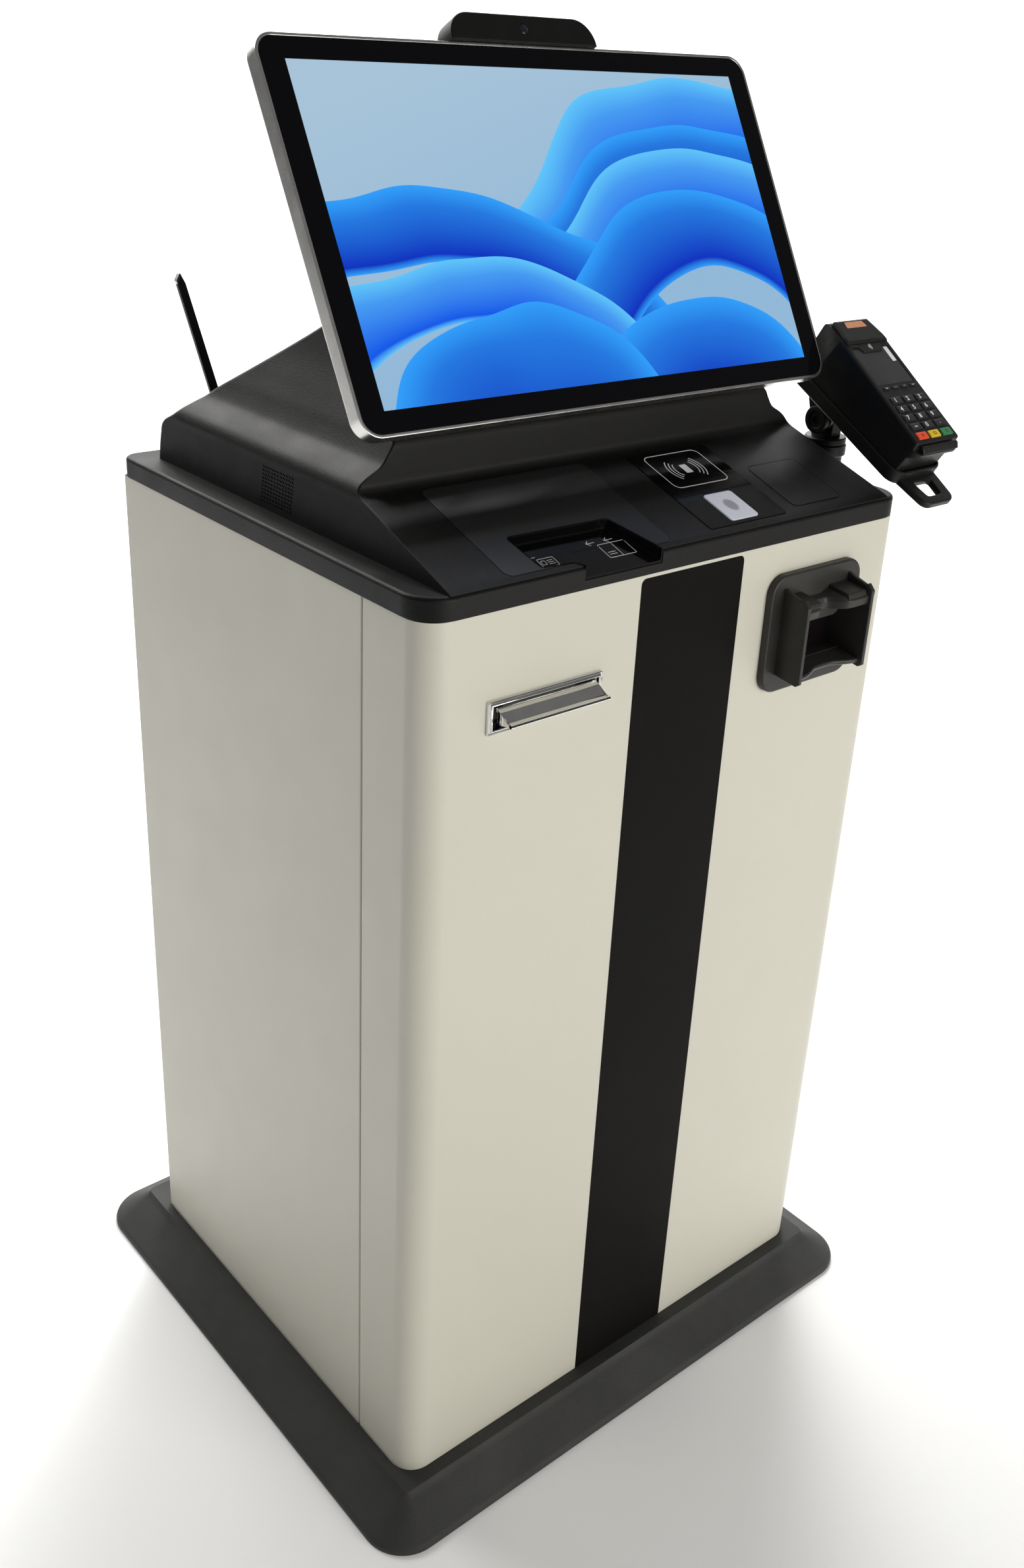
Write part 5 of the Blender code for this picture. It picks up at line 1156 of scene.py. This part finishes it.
loop_levels = round_under(0.0022, -0.0158, steps=5) + round_over(0.0018, -0.0080, steps=5)[:-1]
hole_levels = [(-0.0016, -0.0080), (-0.0006, -0.0084), (0.0, -0.0098)]
hole_levels += [(0.0, -0.0140), (-0.0006, -0.0154), (-0.0016, -0.0158)]
loop_outer = stacked(tapered(0.0245, 0.0310, -0.0370, 0.0120, 0.011, 0), loop_levels, 10)
loop_hole = stacked(tapered(0.0110, 0.0145, -0.0260, -0.0050, 0.0035, 0.003), hole_levels, 10)
built("finger_loop", moved(np.concatenate([loop_outer, loop_hole]), ON_CRADLE), *HELD, closed=True)

ear_shape = [
    (-0.011, -0.011, 0.0105),
    (0.011, -0.011, 0.0105),
    (0.0255, 0.0430, 0.001),
    (-0.0235, 0.0150, 0.001),
]
for name, left in (("cradle_ear_left", -0.0135), ("cradle_ear_right", 0.0085)):
    bored_lug(name, ear_shape, left, 0.005, 0.0043, ON_KNOB, *HELD)

knob_levels = [(0.0107, -0.0145), (0.0010, -0.0145), (0.0, -0.0152), (0.0, -0.0202), (0.0004, -0.0210)]
knob_levels += [(0.0014, -0.0215), (0.0052, -0.0215), (0.0060, -0.0210), (0.0062, -0.0200), (0.0107, -0.0200)]
knob_look = (terminal_black, "tilt_knob", "terminal_black", "tilt_knob")
built("knob", moved(disc(0.015, knob_levels, 56), ON_KNOB), *knob_look, closed=True)


# Payment terminal: a two-part black case with a raised head, a sunk screen, a keypad and a card slot in a
# round foot. The label is blank. Every key is a separate moulded cap, and its figure is printed on top.
ON_FACE = ON_AXIS @ Matrix.Translation((0, -0.0749, 0.0932))
CASE_HALF = 0.036


def on_cradle(along, depth):
    """A point of the cradle's floor in the plane of the terminal's side: the cradle's lean applied to both."""
    y = -0.050 + along * math.cos(CRADLE_LEAN) + depth * math.sin(CRADLE_LEAN)
    return y, -0.037 - along * math.sin(CRADLE_LEAN) + depth * math.cos(CRADLE_LEAN)


case_side = [
    (-0.0400, -0.0085, 0.0006),
    (-0.0480, -0.0085, 0.0012),
    (-0.0480, -0.0125, 0.0012),
    (-0.0400, -0.0200, 0.003),
    (*on_cradle(0.010, -0.0117), 0.006),
    (*on_cradle(0.180, -0.0117), 0.004),
    (0.1340, -0.0050, 0.005),
    (0.1040, 0.0, 0.0),
    (-0.0385, 0.0, 0.0030),
]
side_levels = round_under(0.0022, -CASE_HALF, steps=5) + round_over(0.0022, CASE_HALF, steps=5)
case = plate("terminal_case", case_side, side_levels, ON_FACE @ ALONG_PIN, *HELD, "terminal_body", steps=6)
case_plan = [
    (-CASE_HALF, -0.0485, 0.011),
    (CASE_HALF, -0.0485, 0.011),
    (CASE_HALF, 0.104, 0.004),
    (0.029, 0.140, 0.003),
    (-0.029, 0.140, 0.003),
    (-CASE_HALF, 0.104, 0.004),
]
plan_block = cutter(solid("cutter", moved(stacked(case_plan, [(0, -0.12), (0, 0.05)], 8), ON_FACE)))
within = case.modifiers.new("plan", "BOOLEAN")
within.operation = "INTERSECT"
within.object = plan_block
within.solver = "EXACT"


def face_cutter(corners, low, grow=0.0):
    return cutter(solid("cutter", moved(stacked(corners, [(-grow, low), (-grow, 0.02)], 4), ON_FACE)))


def key_corners(x, y, half_x, half_y, radius=0.0014):
    return box_corners(x - half_x, x + half_x, y - half_y, y + half_y, radius)


SCREEN = (-0.0300, 0.0300, 0.0400, 0.0900)
KEY_STEP_X, KEY_STEP_Y = 0.0204, 0.01185
KEY_HALF = (0.0086, 0.0046)
SOFT_HALF = (0.00475, 0.0018)
ROWS = ["123", "456", "789", ("function", "0", "dot"), ("cancel", "clear", "enter")]
wells = [face_cutter(box_corners(*SCREEN, 0.002), -0.0019, 0.0003)]
key_centres = {}
for row, labels in enumerate(ROWS):
    for column, label in enumerate(labels):
        key_centres[label] = ((column - 1) * KEY_STEP_X, (1.5 - row) * KEY_STEP_Y)
soft_centres = [((column - 1.5) * 0.0148, 0.0343) for column in range(4)]
for centres, half in ((key_centres.values(), KEY_HALF), (soft_centres, SOFT_HALF)):
    wells += [face_cutter(key_corners(x, y, *half), -0.0042, 0.0003) for x, y in centres]
card_gap = stacked(box_corners(-0.0275, 0.0275, -0.060, -0.010, 0.0), [(0, -0.0081), (0, -0.0066)], 1)
wells.append(cutter(solid("cutter", moved(card_gap, ON_FACE))))
carve(case, *wells)
bpy.data.objects.remove(plan_block)

lip = [
    (-0.0485, -0.0062, 0.0004),
    (-0.0405, -0.0062, 0.0004),
    (-0.0405, -0.0012, 0.002),
    (-0.0440, -0.0014, 0.003),
    (-0.0485, -0.0054, 0.0006),
]
lip_levels = round_under(0.0012, -0.0300) + round_over(0.0012, 0.0300)
plate("card_lip", lip, lip_levels, ON_FACE @ ALONG_PIN, *HELD, steps=5)

head_shape = [
    (-0.0335, 0.0955, 0.001),
    (0.0335, 0.0955, 0.001),
    (0.0335, 0.1040, 0.002),
    (0.0275, 0.1290, 0.002),
    (-0.0275, 0.1290, 0.002),
    (-0.0335, 0.1040, 0.002),
]
FOLD_AT = Matrix.Translation((0, 0.104, 0))
ON_HEAD = ON_FACE @ FOLD_AT @ Matrix.Rotation(math.radians(-3.0), 4, "X") @ FOLD_AT.inverted()
plate_levels = [(0, -0.004), (0, 0.0012), (0.0018, 0.0026), (0.0030, 0.0029), (0.0034, 0.0029)]
plate("head_plate", head_shape, plate_levels, ON_HEAD, *HELD, steps=5, sharp=25)
label = [(-0.0165, 0.1165, 0.001), (0.0165, 0.1165, 0.001), (0.0145, 0.1250, 0.001), (-0.0145, 0.1250, 0.001)]
copper = finish("label_copper", (0.62, 0.27, 0.14), 0.4, mottle=(0.01, 0.06))
plate("blank_label", label, [(0, 0.0028), (0, 0.0030)], ON_HEAD, copper, "terminal", "terminal_black", steps=4)
TAB = [
    (-0.0310, 0.0960, 0.0),
    (-0.0310, 0.0940, 0.001),
    (-0.0205, 0.0925, 0.002),
    (-0.0145, 0.0838, 0.002),
    (0.0150, 0.0838, 0.002),
    (0.0192, 0.0885, 0.001),
    (0.0192, 0.0940, 0.001),
    (0.0310, 0.0940, 0.001),
    (0.0310, 0.0960, 0.0),
]
tab_levels = [(0, -0.0017), (0, 0.0004), (0.0006, 0.0010), (0.0012, 0.0011)]
plate("reader_tab", TAB, tab_levels, ON_FACE, *HELD, steps=4)
MARK = (print_white, "terminal", "terminal_black")
marks = [arc(-0.0045, 0.0905, radius, 40, 9) for radius in (0.0022, 0.0040, 0.0058)]
printed("reader_mark", marks, [], ON_FACE, 0.0011, *MARK, width=0.0007)

matt_screen = finish("matt_screen", (0.030, 0.031, 0.031), 0.22, mottle=(0.03, 0.15), smudge=(0.02, 0.05))
screen_levels = [(0, -0.0017), (0, -0.0008), (0.0004, -0.0005), (0.0008, -0.0005)]
screen_look = (matt_screen, "terminal", "gloss_black", "terminal_screen")
plate("terminal_glass", box_corners(*SCREEN, 0.002), screen_levels, ON_FACE, *screen_look, steps=4)
strip_shape = box_corners(0.0208, 0.0270, 0.0690, 0.0890, 0.0008)
strip_look = (print_white, "terminal", "gloss_black")
plate("light_strip", strip_shape, [(0, -0.0006), (0, -0.0003)], ON_FACE, *strip_look, steps=3)

KEY_TOP = 0.0013
key_levels = [(0.0002, -0.0026), (0.0, 0.0000), (0.0004, 0.0009), (0.0012, KEY_TOP), (0.0016, KEY_TOP)]
key_black = finish("key_black", (0.014, 0.014, 0.015), 0.38, mottle=(0.01, 0.08))
key_coats = {
    "cancel": (finish("key_red", (0.80, 0.075, 0.018), 0.36, mottle=(0.01, 0.05)), "key_red"),
    "clear": (finish("key_yellow", (0.70, 0.50, 0.015), 0.36, mottle=(0.01, 0.05)), "key_yellow"),
    "enter": (finish("key_green", (0.035, 0.22, 0.075), 0.36, mottle=(0.01, 0.05)), "key_green"),
}
legend_black = finish("legend_black", (0.008, 0.008, 0.008), 0.5)


def figure_mesh(text, size):
    """The outline of one figure as a thin flat mesh centred on the origin."""
    curve = bpy.data.curves.new("figure", "FONT")
    curve.body = text
    curve.size = size
    curve.align_x = "CENTER"
    curve.align_y = "CENTER"
    curve.extrude = 0.00005
    curve.offset = 0.00012
    curve.resolution_u = 4
    drawn = bpy.data.objects.new("figure", curve)
    scene.collection.objects.link(drawn)
    bpy.context.view_layer.update()
    mesh = bpy.data.meshes.new_from_object(drawn.evaluated_get(bpy.context.evaluated_depsgraph_get()))
    bpy.data.objects.remove(drawn)
    work = bmesh.new()
    work.from_mesh(mesh)
    bmesh.ops.remove_doubles(work, verts=work.verts, dist=1e-6)
    bmesh.ops.recalc_face_normals(work, faces=work.faces)
    work.to_mesh(mesh)
    work.free()
    return mesh


CURVE_TURN = np.linspace(0, 6.28, 21)
ARROW = ((0.0022, 0.0015), (-0.0008, 0.0015), (-0.0024, 0.0), (-0.0008, -0.0015), (0.0022, -0.0015))
SYMBOLS = {
    "cancel": [straight((-0.0017, -0.0017), (0.0017, 0.0017)), straight((-0.0017, 0.0017), (0.0017, -0.0017))],
    "clear": [straight((0.0022, -0.0015), (0.0022, 0.0015)), straight(*ARROW)],
    "enter": [0.0018 * np.column_stack([np.cos(CURVE_TURN), np.sin(CURVE_TURN)])],
    "function": [
        straight((-0.0016, 0.0012), (-0.0016, -0.0012)),
        straight((-0.0016, 0.0), (0.0016, 0.0)),
        straight((0.0016, 0.0012), (0.0016, -0.0012)),
    ],
    "dot": [straight((-0.0006, -0.0004), (0.0006, -0.0004))],
}
SYMBOL_WIDTH = 0.0006
for label, (x, y) in key_centres.items():
    coat, slot = key_coats.get(label, (key_black, "key_black"))
    node = "key_" + label
    plate("cap_" + label, key_corners(x, y, *KEY_HALF), key_levels, ON_FACE, coat, node, slot, node, steps=4)
    print_coat = legend_black if label in key_coats else print_white
    on_key = ON_FACE @ Matrix.Translation((x, y, KEY_TOP))
    if label in SYMBOLS:
        printed("legend_" + label, SYMBOLS[label], [], on_key, 0.0, print_coat, node, slot, width=SYMBOL_WIDTH)
    else:
        figure = figure_mesh(label, 0.0076)
        figure.transform(on_key @ Matrix.Translation((-0.0022, 0, 0)))
        fitted("legend_" + label, figure, print_coat, node, slot)
for number, (x, y) in enumerate(soft_centres, 1):
    node = "soft_key_" + str(number)
    look = (key_black, node, "key_black", node)
    soft_shape = key_corners(x, y, *SOFT_HALF, 0.0008)
    plate("soft_cap_" + str(number), soft_shape, key_levels, ON_FACE, *look, steps=4)
    half = 0.0016 if number in (1, 4) else 0.0004
    on_key = ON_FACE @ Matrix.Translation((x, y, KEY_TOP))
    mark_look = (print_white, node, "key_black")
    dash = [straight((-half, 0.0), (half, 0.0))]
    printed("soft_legend_" + str(number), dash, [], on_key, 0.0, *mark_look, width=SYMBOL_WIDTH)


# Pieces kept from the CAD: the steel frame, the rear door with its lock and hinge rod, the two brackets, the
# antenna's base, the display's panel, the computer, the printer with its roll, and the mains inlet.
zinc = finish("zinc_plate", (0.42, 0.42, 0.41), 0.34, 1.0, mottle=(0.03, 0.12), smudge=(0.04, 0.08))
printer_black = finish(
    "printer_black", (0.014, 0.014, 0.014), 0.5, grain=(0.0008, 0.00003), mottle=(0.03, 0.1)
)
device_grey = finish("device_grey", (0.09, 0.09, 0.09), 0.45, 0.0, grain=(0.001, 0.00003), mottle=(0.04, 0.1))


def wound_paper(name, axis_point):
    """Wound thermal paper: fine rings about the roll's axis, one for each few turns."""
    made = finish(name, (0.76, 0.75, 0.72), 0.75)
    tree = made.node_tree
    where = added(tree, "TexCoord", {}).outputs["Object"]
    shift = added(tree, "VectorMath", {0: where, 1: axis_point}, operation="SUBTRACT")
    rings = added(tree, "TexWave", {"Vector": shift.outputs["Vector"]}, wave_type="RINGS", rings_direction="X")
    settle(rings, {"Scale": 420})
    bump = added(tree, "Bump", {"Distance": 0.0001, "Height": rings.outputs["Fac"]})
    settle(tree.nodes["Principled BSDF"], {"Normal": bump.outputs["Normal"]})
    return made


coats = {
    "cabinet_frame": zinc,
    "rear_door": paint,
    "door_lock": chrome,
    "hinge_rod": zinc,
    "tilt_bracket": zinc,
    "pole_bracket": terminal_black,
    "antenna_base": whip_black,
    "display_panel": device_grey,
    "computer": device_grey,
    "receipt_printer": printer_black,
    "paper_roll": wound_paper("wound_paper", joint_at["paper_roll"]["pos_m"]),
    "mains_inlet": gloss_black,
    "mains_rocker": key_black,
}
for node, coat in coats.items():
    mesh = bpy.data.objects[node].data
    mesh.materials.clear()
    mesh.materials.append(coat)

# Shading: each face weighs by its area, so that a broad flat stays flat beside a tight round edge.
for piece in made_pieces:
    weigh = piece.modifiers.new("weigh", "WEIGHTED_NORMAL")
    weigh.keep_sharp = True
